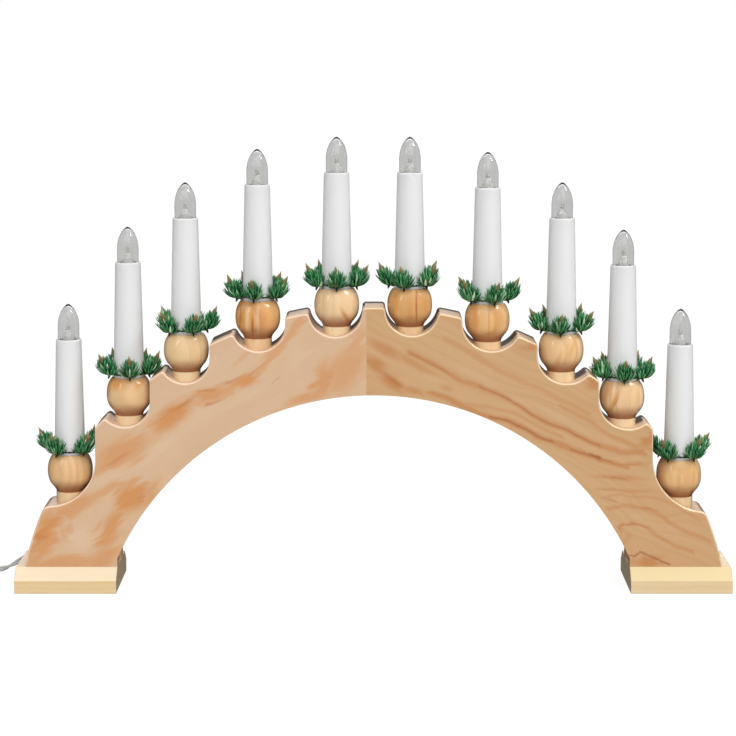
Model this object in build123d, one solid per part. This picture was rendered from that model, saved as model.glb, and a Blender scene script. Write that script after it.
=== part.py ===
from build123d import *
import math
import os

# Electric candle arch: a scalloped wooden arch on two foot blocks, with ten turned
# holders, ten tubular candles with screw-in lamps, and a small green wreath round
# the foot of each candle. Millimetres. +X to the right, +Y to the back, +Z up.
# The origin is on the floor, in the middle between the two feet.

os.makedirs("parts", exist_ok=True)

# ---------------------------------------------------------------- driving dimensions
# candle axes along X, and the height of each lamp's tip
CANDLE_X = [-214.3, -172.1, -131.6, -81.2, -25.8, 25.4, 79.8, 131.9, 175.0, 215.7]
TIP_Z = [200.9, 255.4, 286.5, 309.9, 318.4, 318.4, 307.8, 286.5, 253.3, 197.4]

# arch planks
ARCH_T = 33.0  # thickness, along Y
ARCH_Y = -5.5  # the planks' middle plane; their front is flush with the feet's top front edge
OUT_R, OUT_Z = 265.5, -65.1  # circle through the peaks between the scallops
LEG_R, LEG_Z = 251.4, -39.3  # outer side of the legs
IN_R, IN_Z = 197.4, -58.5  # inner side
SEAM_X = -5.0  # butt joint between the two planks
LEG_FOOT_Z = 17.1  # the planks stand on the feet here
EDGE_R = 1.5  # rounding of the scalloped edges
PEAK_R = 2.6  # rounding of the peaks, seen from the front
HEEL_R = 6.0  # rounding where the end scallops run out at the legs
# scallops: centre x, centre z, radius
SCALLOPS = [
    (-228.0, 93.6, 33.4),
    (-173.7, 134.0, 17.6),
    (-131.4, 164.4, 17.2),
    (-80.1, 188.3, 18.6),
    (-26.5, 198.5, 18.7),
    (26.8, 199.2, 18.6),
    (82.4, 190.4, 20.6),
    (134.6, 167.3, 20.3),
    (177.9, 135.5, 20.5),
    (233.6, 94.6, 38.3),
]
SEAT_DEPTH = 12.0  # how deep a holder's neck sits below the scallop's surface
WIRE_HOLE_R = 3.0
GROOVE_W, GROOVE_D = 8.0, 7.0  # wiring groove in the arch's inner side
COVER_W, COVER_T = 12.0, 1.5  # strip that closes it
COVER_GAP = 0.05

# dowels across the seam
DOWEL_R, DOWEL_L, DOWEL_Y, DOWEL_Z = 4.0, 30.0, 9.0, 158.6

# feet
FOOT_X0, FOOT_X1, FOOT_W, FOOT_H, FOOT_CHAMFER = 179.8, 251.0, 60.0, 17.1, 8.0

# screws from below into the legs
SCREW_X, SCREW_Y, SCREW_R, SCREW_HEAD_R, SCREW_L = 205.0, 9.5, 1.95, 4.0, 36.0

# turned holder: heights are counted from the ball's widest level
BALL_FROM_TIP = -117.5
RIM_H = 11.4
NECK_R = 9.85
BALL_PROFILE = [(11.9, 11.4), (13.4, 9.3), (14.9, 5.9), (15.6, 2.4), (15.75, 0.0),
                (15.3, -4.95), (14.0, -8.5), (11.4, -12.0), (NECK_R, -14.6)]
CANDLE_FOOT_R, CANDLE_TOP_R = 10.8, 8.9
BORE_FLOOR = -2.0

# candle and lamp, heights counted from the tip of the lamp
CANDLE_TOP = -24.8
SOCKET_R, SOCKET_LEN = 7.2, 17.0
LAMP_R, LAMP_WALL = 7.5, 1.3
CAP_R, CAP_LEN = 4.85, 11.2

# wreath
RING_R, RING_WIRE = 12.9, 0.9
RING_H = 14.4  # above the ball's widest level
SPRIG_L, SPRIG_R0, SPRIG_R1, SPRIG_TILT = 11.2, 1.25, 3.9, 14.0
# the cut stub below the ring, which rests on the ball's shoulder
STUB_L, STUB_R, STUB_TILT = 4.7, 0.65, 160.0
# where the first of each wreath's five sprigs points, degrees from the front
WREATH_TURN = [38.0, 0.0, 20.0, -6.0, 0.0, -18.0, 21.0, 0.0, 6.0, 36.0]

# mains lead
CORD_D = 3.6
CORD_EXIT = (-214.3, 23.0, 25.6)
CORD_ROUTE = [
    (-214.3, 23.0, 25.6), (-214.3, 32.5, 25.6), (-218.6, 41.5, 23.4), (-227.6, 46.6, 19.6),
    (-238.4, 45.6, 15.6), (-248.0, 39.8, 11.4), (-256.8, 33.8, 7.2), (-265.4, 30.8, 3.8),
    (-274.2, 30.8, 2.4), (-283.5, 34.0, 2.5), (-293.6, 38.2, 2.6),
]
COIL_C = (-306.0, 14.0)
COIL_Z = 0.8
COIL_R_IN, COIL_R_OUT, COIL_H = 12.6, 27.4, 9.9
TAIL_ROUTE = [
    (-314.5, 34.0, 8.6), (-324.5, 32.2, 8.2), (-334.0, 29.2, 7.5),
    (-343.0, 27.2, 6.9), (-351.0, 27.2, 6.9),
]
PLUG_REAR = (-351.0, 27.2, 6.9)

HALF_T = ARCH_T / 2


# ---------------------------------------------------------------- helpers
ON_FLOOR = ("foot_left", "foot_right", "cord", "cord_coil", "coil_tie", "plug_body", "plug_pins")


def save(name, solids):
    """Writes a node. All but the pieces on the floor are drawn round the planks' middle plane and moved there."""
    solids = [s for s in (solids if isinstance(solids, (list, tuple)) else [solids])]
    flat = []
    for s in solids:
        if name not in ON_FLOOR:
            s = Pos(0, ARCH_Y, 0) * s
        flat.extend(s.solids())
    shape = flat[0] if len(flat) == 1 else Compound(children=flat)
    shape.label = name
    export_step(shape, f"parts/{name}.step")
    return shape


def upright(r, z0, z1, x=0.0, y=0.0):
    """A round bar along Z from z0 to z1."""
    return Pos(x, y, z0) * Cylinder(r, z1 - z0, align=(Align.CENTER, Align.CENTER, Align.MIN))


def turned(points, x=0.0, z=0.0, spline_from=None, spline_to=None):
    """A turned solid about the Z axis at x: points are (radius, height), closed."""
    edges = []
    n = len(points)
    i = 0
    while i < n:
        if spline_from is not None and i == spline_from:
            edges.append(Spline(*[(points[k][0], 0, points[k][1]) for k in range(spline_from, spline_to + 1)]))
            i = spline_to
            continue
        a, b = points[i], points[(i + 1) % n]
        if a != b:
            edges.append(Line((a[0], 0, a[1]), (b[0], 0, b[1])))
        i += 1
    face = make_face(edges)
    return Pos(x, 0, z) * revolve(face, Axis.Z, 360)


def in_front_plane(sketch, depth):
    """Extrudes a sketch drawn in X and Z to depth on both sides of Y = 0."""
    return extrude(Plane.XZ * sketch, amount=depth, both=True)


# ---------------------------------------------------------------- arch planks
def arch_outline():
    outline = Pos(0, OUT_Z) * Circle(OUT_R)
    outline &= Pos(0, LEG_Z) * Circle(LEG_R)
    outline &= Pos(0, LEG_FOOT_Z) * Rectangle(700, 400, align=(Align.CENTER, Align.MIN))
    outline -= Pos(0, IN_Z) * Circle(IN_R)
    # the legs' inner sides end upright, in line with the feet's ends
    drop = math.sqrt(IN_R ** 2 - FOOT_X0 ** 2) + IN_Z - LEG_FOOT_Z
    for side in (-1, 1):
        outline += Pos(side * (FOOT_X0 + 4), LEG_FOOT_Z) * Rectangle(8, drop, align=(Align.CENTER, Align.MIN))
    for x, z, r in SCALLOPS:
        outline -= Pos(x, z) * Circle(r)
        outline -= Pos(x, z) * Rectangle(2 * r, 120, align=(Align.CENTER, Align.MIN))
    return outline


def corner_kind(z):
    """The rounding of an outline's corner, or 0 where it stays sharp."""
    if z < LEG_FOOT_Z + 9.0:
        return 0.0
    if z < 63.6:
        return HEEL_R
    return PEAK_R


both_halves = in_front_plane(arch_outline(), HALF_T)
for want in (PEAK_R, HEEL_R):
    corners = []
    for e in both_halves.edges().filter_by(Axis.Y):
        c = e.center()
        if abs(corner_kind(c.Z) - want) < 1e-6:
            corners.append(e)
    both_halves = fillet(corners, want)


def top_edges(solid):
    """The scalloped edges on the front and back faces."""
    picked = []
    for e in solid.edges():
        c = e.center()
        box = e.bounding_box()
        if abs(abs(c.Y) - HALF_T) > 0.01 or box.size.Y > 0.01:
            continue
        if box.max.Z <= LEG_FOOT_Z + 0.2:
            continue
        p = e.position_at(0.5)
        if abs(math.hypot(p.X, p.Z - IN_Z) - IN_R) < 0.05 or abs(abs(p.X) - FOOT_X0) < 0.05:
            continue
        picked.append(e)
    return picked


both_halves = fillet(top_edges(both_halves), EDGE_R)

# bores for the holders' necks, wire passages, wiring groove and the strip's rebate
seat_z = []
for (x, tip), (sx, sz, sr) in zip(zip(CANDLE_X, TIP_Z), SCALLOPS):
    surface = sz - math.sqrt(sr * sr - (x - sx) ** 2)
    seat_z.append(surface - SEAT_DEPTH)
tools = []
for x, z in zip(CANDLE_X, seat_z):
    tools.append(upright(NECK_R + 0.05, z, z + 60, x))
    low = LEG_FOOT_Z - 5 if abs(x) > 190 else IN_Z + math.sqrt(IN_R ** 2 - x * x) - 8
    tools.append(upright(WIRE_HOLE_R, low, z + 1, x))
# the two outermost balls are let into the steep sides of their scallops
LET_IN = 0.35
for k in (0, -1):
    prof = [(0, RIM_H), (BALL_PROFILE[0][0] + LET_IN, RIM_H)]
    prof += [(r + LET_IN, h) for r, h in BALL_PROFILE[1:-1]] + [(NECK_R, -15.2), (0, -15.2)]
    tools.append(turned(prof, CANDLE_X[k], TIP_Z[k] + BALL_FROM_TIP, spline_from=1, spline_to=len(prof) - 2))
groove = Pos(0, IN_Z) * Circle(IN_R + GROOVE_D) - Pos(0, IN_Z) * Circle(IN_R - 20)
groove &= Rectangle(700, 500, align=(Align.CENTER, Align.MIN))
rebate = Pos(0, IN_Z) * Circle(IN_R + COVER_T) - Pos(0, IN_Z) * Circle(IN_R - 20)
rebate &= Rectangle(700, 500, align=(Align.CENTER, Align.MIN))
tools.append(in_front_plane(groove, GROOVE_W / 2))
tools.append(in_front_plane(rebate, COVER_W / 2 + COVER_GAP))
# channels under the legs, from the groove to the outer wire passages
LEG_RUN_Z = LEG_FOOT_Z + 6.5
for side in (-1, 1):
    x_far = min(CANDLE_X) - 3.5 if side < 0 else max(CANDLE_X) + 3.5
    mid = (x_far + side * 184.0) / 2
    tools.append(Pos(mid, 0, LEG_FOOT_Z - 1) * Box(abs(x_far - side * 184.0), GROOVE_W, 7.5,
                 align=(Align.CENTER, Align.CENTER, Align.MIN)))
# the lead's hole in the back of the left leg
LEAD_HOLE_R = 3.6
tools.append(Pos(CORD_EXIT[0], HALF_T + 1, CORD_EXIT[2]) * Rot(90, 0, 0)
             * Cylinder(LEAD_HOLE_R, HALF_T + 1, align=(Align.CENTER, Align.CENTER, Align.MIN)))
# dowel holes across the seam
for y in (-DOWEL_Y, DOWEL_Y):
    tools.append(Pos(SEAM_X, y, DOWEL_Z) * Rot(0, 90, 0) * Cylinder(DOWEL_R + 0.05, DOWEL_L + 1.0))
# pilot holes for the screws
for side in (-1, 1):
    for y in (-SCREW_Y, SCREW_Y):
        tools.append(upright(SCREW_R + 0.05, LEG_FOOT_Z - 1, SCREW_L + 1.5, side * SCREW_X, y))
bored = both_halves
for t in tools:
    bored -= t

half_box = Box(600, 100, 500, align=(Align.MAX, Align.CENTER, Align.CENTER))
arch_left = bored & (Pos(SEAM_X, 0, 0) * half_box)
arch_right = bored & (Pos(SEAM_X, 0, 0) * Box(600, 100, 500, align=(Align.MIN, Align.CENTER, Align.CENTER)))
save("arch_left", arch_left)
save("arch_right", arch_right)
print("arch solids", len(arch_left.solids()), len(arch_right.solids()))

save("arch_dowels", [
    chamfer((Pos(SEAM_X, y, DOWEL_Z) * Rot(0, 90, 0) * Cylinder(DOWEL_R, DOWEL_L)).edges().filter_by(GeomType.CIRCLE), 0.8)
    for y in (-DOWEL_Y, DOWEL_Y)
])

# ---------------------------------------------------------------- feet and screws
foot_profile = [
    (-FOOT_W / 2, 0), (FOOT_W / 2, 0), (FOOT_W / 2, FOOT_H - FOOT_CHAMFER),
    (FOOT_W / 2 - FOOT_CHAMFER, FOOT_H), (-FOOT_W / 2 + FOOT_CHAMFER, FOOT_H),
    (-FOOT_W / 2, FOOT_H - FOOT_CHAMFER),
]
SCREW_SINK = 0.6
screws = []
for side, name in ((-1, "foot_left"), (1, "foot_right")):
    x0 = -FOOT_X1 if side < 0 else FOOT_X0
    face = Plane.YZ * make_face(Polyline(*foot_profile, close=True))
    foot = Pos(x0, 0, 0) * extrude(face, amount=FOOT_X1 - FOOT_X0)
    long_edges = foot.edges().filter_by(Axis.X)
    foot = fillet(long_edges, 0.5)
    ends = [e for e in foot.edges() if e.bounding_box().size.X < 0.01]
    foot = chamfer(ends, 0.3)
    for y in (-SCREW_Y, SCREW_Y):
        x = side * SCREW_X
        foot -= upright(SCREW_R + 0.25, -1, FOOT_H + 1, x, y + ARCH_Y)
        foot -= upright(SCREW_HEAD_R + 0.1, -1, SCREW_SINK, x, y + ARCH_Y)
        foot -= Pos(x, y + ARCH_Y, SCREW_SINK) * Cone(SCREW_HEAD_R + 0.1, SCREW_R + 0.25, 2.0, align=(Align.CENTER, Align.CENTER, Align.MIN))
        head = Pos(x, y, SCREW_SINK) * Cone(SCREW_HEAD_R, SCREW_R, 2.0, align=(Align.CENTER, Align.CENTER, Align.MIN))
        shank = upright(SCREW_R, SCREW_SINK + 1.9, SCREW_L - 4, x, y)
        point = Pos(x, y, SCREW_L - 4) * Cone(SCREW_R, 0.3, 4.0, align=(Align.CENTER, Align.CENTER, Align.MIN))
        slot = Pos(x, y, SCREW_SINK) * Box(4.4, 0.9, 1.6, align=(Align.CENTER, Align.CENTER, Align.CENTER))
        slot += Pos(x, y, SCREW_SINK) * Box(0.9, 4.4, 1.6, align=(Align.CENTER, Align.CENTER, Align.CENTER))
        screws.append(head + shank + point - slot)
    save(name, foot)
save("foot_screws", screws)

# ---------------------------------------------------------------- candles, lamps, holders, wreaths
lampholders = []
loom = None
for k, (x, tip, seat) in enumerate(zip(CANDLE_X, TIP_Z, seat_z), start=1):
    tag = f"{k:02d}"
    eq = tip + BALL_FROM_TIP
    top = tip + CANDLE_TOP

    # turned holder: ball on a neck, bored for the candle and for the wires
    prof = [(CANDLE_FOOT_R + 0.05, RIM_H)] + BALL_PROFILE
    first, last = 1, len(prof) - 1
    prof += [(NECK_R, seat - eq), (WIRE_HOLE_R, seat - eq), (WIRE_HOLE_R, BORE_FLOOR), (CANDLE_FOOT_R + 0.05, BORE_FLOOR)]
    holder = turned(prof, x, eq, spline_from=first, spline_to=last)
    save(f"holder_{tag}", holder)

    # candle tube, open below, with a rounded top edge and a seat for the lamp
    foot_z = eq + BORE_FLOOR
    rim = eq + RIM_H
    candle = turned([
        (CANDLE_FOOT_R, foot_z), (CANDLE_FOOT_R, rim), (CANDLE_TOP_R, top),
        (LAMP_R + 0.35, top), (LAMP_R + 0.35, top - 3.0), (SOCKET_R + 0.05, top - 3.0),
        (SOCKET_R + 0.05, top - 3.2 - SOCKET_LEN), (CANDLE_FOOT_R - 1.5, foot_z)], x)
    edge = [e for e in candle.edges().filter_by(GeomType.CIRCLE)
            if abs(e.center().Z - top) < 0.01 and abs(e.radius - CANDLE_TOP_R) < 0.01]
    candle = fillet(edge, 0.7)
    save(f"candle_{tag}", candle)

    # lampholder inside the candle's top
    sock_top = top - 3.2
    sock = turned([
        (SOCKET_R, sock_top), (SOCKET_R, sock_top - SOCKET_LEN), (2.0, sock_top - SOCKET_LEN),
        (2.0, sock_top - SOCKET_LEN + 4.0), (CAP_R + 0.08, sock_top - SOCKET_LEN + 4.0), (CAP_R + 0.08, sock_top)], x)
    lampholders.append(sock)

    # lamp: clear envelope, screw cap with its white two-step collar, and the diode's dome
    h = LAMP_R
    shell_outer = [(LAMP_R, top - 2.6), (LAMP_R, tip - 15.2), (7.3, tip - 12.7), (6.9, tip - 10.3),
                   (6.2, tip - 7.8), (5.1, tip - 5.4), (3.75, tip - 3.15), (2.2, tip - 1.42), (1.05, tip - 0.38), (0.0, tip)]
    shell_inner = [(0.0, tip - 1.9), (1.3, tip - 2.5), (2.7, tip - 4.1), (4.0, tip - 6.5), (5.0, tip - 9.2),
                   (5.75, tip - 12.0), (LAMP_R - LAMP_WALL, tip - 15.5), (LAMP_R - LAMP_WALL, top - 2.6)]
    edges = [
        Line((LAMP_R, 0, top - 2.6), (LAMP_R, 0, tip - 15.2)),
        Spline(*[(r, 0, z) for r, z in shell_outer[1:]], tangents=[(0, 0, 1), (-1, 0, 0.28)]),
        Line((0, 0, tip), (0, 0, tip - 1.9)),
        Spline(*[(r, 0, z) for r, z in shell_inner[:-1]], tangents=[(1, 0, -0.2), (0, 0, -1)]),
        Line((LAMP_R - LAMP_WALL, 0, tip - 15.5), (LAMP_R - LAMP_WALL, 0, top - 2.6)),
        Line((LAMP_R - LAMP_WALL, 0, top - 2.6), (LAMP_R, 0, top - 2.6)),
    ]
    shell = Pos(x, 0, 0) * revolve(make_face(edges), Axis.Z, 360)
    cap = turned([
        (0, top - 2.9 - CAP_LEN - 1.6), (1.6, top - 2.9 - CAP_LEN - 1.6), (2.2, top - 2.9 - CAP_LEN),
        (CAP_R - 0.6, top - 2.9 - CAP_LEN), (CAP_R, top - 2.3 - CAP_LEN), (CAP_R, top - 2.9),
        (LAMP_R - LAMP_WALL - 0.05, top - 2.9), (LAMP_R - LAMP_WALL - 0.05, top - 1.4), (3.6, top - 1.4), (3.6, top + 2.5),
        (2.5, top + 2.5), (2.5, top + 6.0), (0, top + 6.0)], x)
    dome = upright(1.5, top + 6.0, top + 8.6, x)
    dome += Pos(x, 0, top + 8.6) * Sphere(1.5)
    dome = dome & upright(4, top + 6.0, top + 12, x)
    save(f"bulb_{tag}", [shell, cap, dome])

    # wreath: a wire ring with five sprigs
    zc = eq + RING_H
    ring = Pos(x, 0, zc) * Torus(RING_R, RING_WIRE)
    for j in range(5):
        a = WREATH_TURN[k - 1] + 72.0 * j - 90.0
        sprig = Cone(SPRIG_R0, SPRIG_R1, SPRIG_L, align=(Align.CENTER, Align.CENTER, Align.MIN))
        sprig = fillet(sprig.edges().sort_by(Axis.Z)[-1], 1.4)
        stub = Cone(SPRIG_R0, STUB_R, STUB_L, align=(Align.CENTER, Align.CENTER, Align.MIN))
        ring += Pos(x, 0, zc) * Rot(0, 0, a) * Pos(RING_R, 0, 0) * Rot(0, SPRIG_TILT, 0) * sprig
        ring += Pos(x, 0, zc) * Rot(0, 0, a) * Pos(RING_R, 0, 0) * Rot(0, STUB_TILT, 0) * stub
    save(f"wreath_{tag}", ring)
    if len(ring.solids()) != 1:
        print("wreath", tag, "has", len(ring.solids()), "solids")

    # wiring from the lampholder down to the groove
    low = LEG_RUN_Z - 3.3 if abs(x) > 190 else IN_Z + math.sqrt((IN_R + 4.2) ** 2 - x * x)
    drop = upright(1.4, low, sock_top - SOCKET_LEN, x)
    loom = drop if loom is None else loom + drop

save("lampholders", lampholders)

run_z = LEG_RUN_Z - 3.3
run_r = IN_R + 4.2
a_end = math.degrees(math.asin((run_z - IN_Z) / run_r))
arc = CenterArc((0, 0), run_r, a_end, 180 - 2 * a_end)
arc = Pos(0, 0, IN_Z) * (Plane.XZ * arc)
tube_plane = Plane(origin=arc @ 0, z_dir=arc % 0)
loom += sweep(tube_plane * Circle(1.5), path=arc)
x_end = run_r * math.cos(math.radians(a_end))
for side, xc in ((-1, CANDLE_X[0]), (1, CANDLE_X[-1])):
    length = abs(xc) - x_end
    loom += Pos(side * (x_end + length / 2), 0, run_z) * Rot(0, 90, 0) * Cylinder(1.4, length)
    loom += Pos(xc, 0, run_z) * Sphere(1.4)
    loom += Pos(side * x_end, 0, run_z) * Sphere(1.5)
# the lead's inner end
loom += Pos(CORD_EXIT[0], 0, CORD_EXIT[2]) * Rot(-90, 0, 0) * Cylinder(1.4, 9.0, align=(Align.CENTER, Align.CENTER, Align.MIN))
save("series_wiring", loom)
print("wiring solids", len(loom.solids()))

# strip that closes the groove
strip = Pos(0, IN_Z) * Circle(IN_R + COVER_T - COVER_GAP) - Pos(0, IN_Z) * Circle(IN_R)
strip &= Pos(0, LEG_FOOT_Z + 0.3) * Rectangle(700, 500, align=(Align.CENTER, Align.MIN))
save("wiring_cover", in_front_plane(strip, COVER_W / 2))

# ---------------------------------------------------------------- mains lead
gx, gy, gz = CORD_EXIT


def along_y(r0, r1, y0, y1, x=gx, z=gz):
    return Pos(x, y0, z) * Rot(-90, 0, 0) * (Cylinder(r0, y1 - y0, align=(Align.CENTER, Align.CENTER, Align.MIN)) if abs(r0 - r1) < 1e-6
                                             else Cone(r0, r1, y1 - y0, align=(Align.CENTER, Align.CENTER, Align.MIN)))


grommet = along_y(LEAD_HOLE_R - 0.05, LEAD_HOLE_R - 0.05, 9.0, HALF_T)
flange = along_y(5.2, 5.2, HALF_T, HALF_T + 1.4)
flange = fillet(flange.edges().filter_by(GeomType.CIRCLE).sort_by(Axis.Y)[-1], 0.5)
grommet += flange
grommet += along_y(3.5, 2.3, HALF_T + 1.3, gy - ARCH_Y)
save("cord_grommet", grommet)


def route_tube(points, d, label):
    pts = [Vector(*p) for p in points]
    radii, length = [], 0.0
    for a, b, c in zip(pts, pts[1:], pts[2:]):
        u, v = b - a, c - b
        turn = math.radians(u.get_angle(v))
        r = 0.45 * min(u.length, v.length) / math.tan(turn / 2)
        radii.append(r)
    path = FilletPolyline(*points, radius=radii)
    tube = sweep(Plane(origin=path @ 0, z_dir=path % 0) * Circle(d / 2), path=path)
    section = math.pi * d * d / 4
    print(label, "length %.1f" % path.length, "radii", [round(r, 1) for r in radii],
          "volume share %.4f" % (tube.volume / (section * path.length)))
    return tube, path.length


lead, lead_len = route_tube(CORD_ROUTE, CORD_D, "cord")
tail, tail_len = route_tube(TAIL_ROUTE, CORD_D, "tail")

cx, cy = COIL_C
coil = Pos(cx, cy, COIL_Z) * (
    Cylinder(COIL_R_OUT, COIL_H, align=(Align.CENTER, Align.CENTER, Align.MIN))
    - Cylinder(COIL_R_IN, COIL_H, align=(Align.CENTER, Align.CENTER, Align.MIN)))
coil = fillet(coil.edges().filter_by(GeomType.CIRCLE), 1.8)
save("cord_coil", coil)
save("cord", [lead - coil, tail - coil])

# tie round the coil's bundle
TIE_T, TIE_W = 0.7, 4.0
TIE_A = 215.0
section_w, section_h = COIL_R_OUT - COIL_R_IN, COIL_H
mid = (COIL_R_OUT + COIL_R_IN) / 2
outer = Box(section_w + 2 * TIE_T + 0.2, TIE_W, section_h + 2 * TIE_T + 0.1)
outer = fillet(outer.edges().filter_by(Axis.Y), 2.4)
inner = Box(section_w + 0.2, TIE_W + 2, section_h + 0.1)
inner = fillet(inner.edges().filter_by(Axis.Y), 1.7)
band = outer - inner
knot = Pos(section_w / 2 + TIE_T + 1.2, 0, 1.0) * Rot(0, 90, 0) * Cylinder(1.1, 2.6)
band += knot
tie = Pos(cx, cy, COIL_Z + section_h / 2) * Rot(0, 0, TIE_A) * Pos(mid, 0, 0) * band
tie -= coil
save("coil_tie", tie)

# plug: flat two-pin body that narrows to the lead, and its two pins
PLUG_L, PLUG_W, PLUG_T = 36.0, 35.3, 13.0
PIN_R, PIN_L, PIN_PITCH = 2.0, 19.0, 18.6
px, py, pz = PLUG_REAR
half = [(0, 3.0), (7, 4.2), (12, 7.2), (20, 14.6), (26, PLUG_W / 2), (PLUG_L, PLUG_W / 2)]
pts = [(-a, b) for a, b in half] + [(-a, -b) for a, b in reversed(half)]
body = extrude(make_face(Polyline(*pts, close=True)), amount=PLUG_T / 2, both=True)
body = fillet(body.edges().filter_by(Axis.Z), 1.8)
flat_rims = [e for e in body.edges() if abs(abs(e.center().Z) - PLUG_T / 2) < 0.01 and e.bounding_box().size.Z < 0.01
             and e.center().X > -PLUG_L + 0.5]
body = fillet(flat_rims, 1.0)
# the lead's end of the body is lower
for s in (-1, 1):
    wedge = Plane.XZ * make_face(Polyline((2, s * 3.2), (0, s * 3.2), (-8, s * 3.8), (-16, s * PLUG_T / 2), (-16, s * 12), (2, s * 12), close=True))
    body -= extrude(wedge, amount=30, both=True)
pin_set = []
for s in (-1, 1):
    body -= Pos(-PLUG_L + 4, s * PIN_PITCH / 2, 0) * Rot(0, -90, 0) * Cylinder(PIN_R + 0.05, 8, align=(Align.CENTER, Align.CENTER, Align.MIN))
    pin = Rot(0, -90, 0) * Cylinder(PIN_R, PIN_L + 4, align=(Align.CENTER, Align.CENTER, Align.MIN))
    pin = fillet(pin.edges().filter_by(GeomType.CIRCLE).sort_by(Axis.X)[0], 1.5)
    pin_set.append(Pos(px - PLUG_L + 4, py + s * PIN_PITCH / 2, pz) * pin)
save("plug_body", Pos(px, py, pz) * body)
save("plug_pins", pin_set)

coil_len = 1500.0 - lead_len - tail_len
turns = coil_len / (math.pi * (COIL_R_OUT + COIL_R_IN))
print("lead %.0f mm, tail %.0f mm, coil %.0f mm in %.1f turns" % (lead_len, tail_len, coil_len, turns))
print("seats", [round(z, 1) for z in seat_z])
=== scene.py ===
import math
import random

import bpy
from mathutils import Matrix, Quaternion, Vector
from mathutils.bvhtree import BVHTree


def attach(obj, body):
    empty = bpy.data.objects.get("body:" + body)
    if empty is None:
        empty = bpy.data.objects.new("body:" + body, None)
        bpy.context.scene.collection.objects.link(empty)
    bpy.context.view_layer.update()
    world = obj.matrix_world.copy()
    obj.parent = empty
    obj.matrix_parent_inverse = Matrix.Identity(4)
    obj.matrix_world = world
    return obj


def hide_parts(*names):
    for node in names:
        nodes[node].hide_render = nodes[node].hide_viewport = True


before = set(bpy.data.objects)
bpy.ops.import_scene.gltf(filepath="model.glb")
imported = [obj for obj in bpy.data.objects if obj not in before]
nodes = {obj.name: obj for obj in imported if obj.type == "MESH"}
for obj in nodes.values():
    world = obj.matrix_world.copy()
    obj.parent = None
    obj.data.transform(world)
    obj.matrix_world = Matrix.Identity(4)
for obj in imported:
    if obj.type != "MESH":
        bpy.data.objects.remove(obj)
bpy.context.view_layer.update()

scene = bpy.context.scene
MM = 0.001


def link(obj):
    scene.collection.objects.link(obj)
    return obj


def srgb(r, g, b):
    def lin(v):
        v /= 255.0
        return v / 12.92 if v <= 0.04045 else ((v + 0.055) / 1.055) ** 2.4
    return (lin(r), lin(g), lin(b), 1.0)


# ------------------------------------------------------------------ measures of the object, in mm
CANDLE_X = [-214.3, -172.1, -131.6, -81.2, -25.8, 25.4, 79.8, 131.9, 175.0, 215.7]
TIP_Z = [200.9, 255.4, 286.5, 309.9, 318.4, 318.4, 307.8, 286.5, 253.3, 197.4]
ARCH_Y = -5.5  # the planks and candles stand a little before the middle of the feet
BALL_FROM_TIP = -117.5  # the ball's widest level
CANDLE_TOP = -24.8
RIM_H, RING_H, RING_R = 11.4, 14.4, 12.9
# where each wreath's sprigs point, degrees from the front, positive to the right
WREATH_TURN = [45.0, 10.0, 24.0, -6.0, 0.0, -18.0, 20.0, -8.0, -2.0, 36.0]

# ------------------------------------------------------------------ camera
cam_data = bpy.data.cameras.new("camera")
cam_data.sensor_width = 36.0
cam_data.lens = 99.75
cam_data.shift_x = -0.0073
cam_data.shift_y = -0.242
cam_data.clip_end = 200.0
camera = link(bpy.data.objects.new("camera", cam_data))
camera.location = (-0.0001, -1.4245, 0.4053)
camera.rotation_euler = (math.radians(85.0), 0.0, 0.0)
scene.camera = camera
scene.view_settings.view_transform = "Standard"
scene.view_settings.look = "None"


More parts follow.
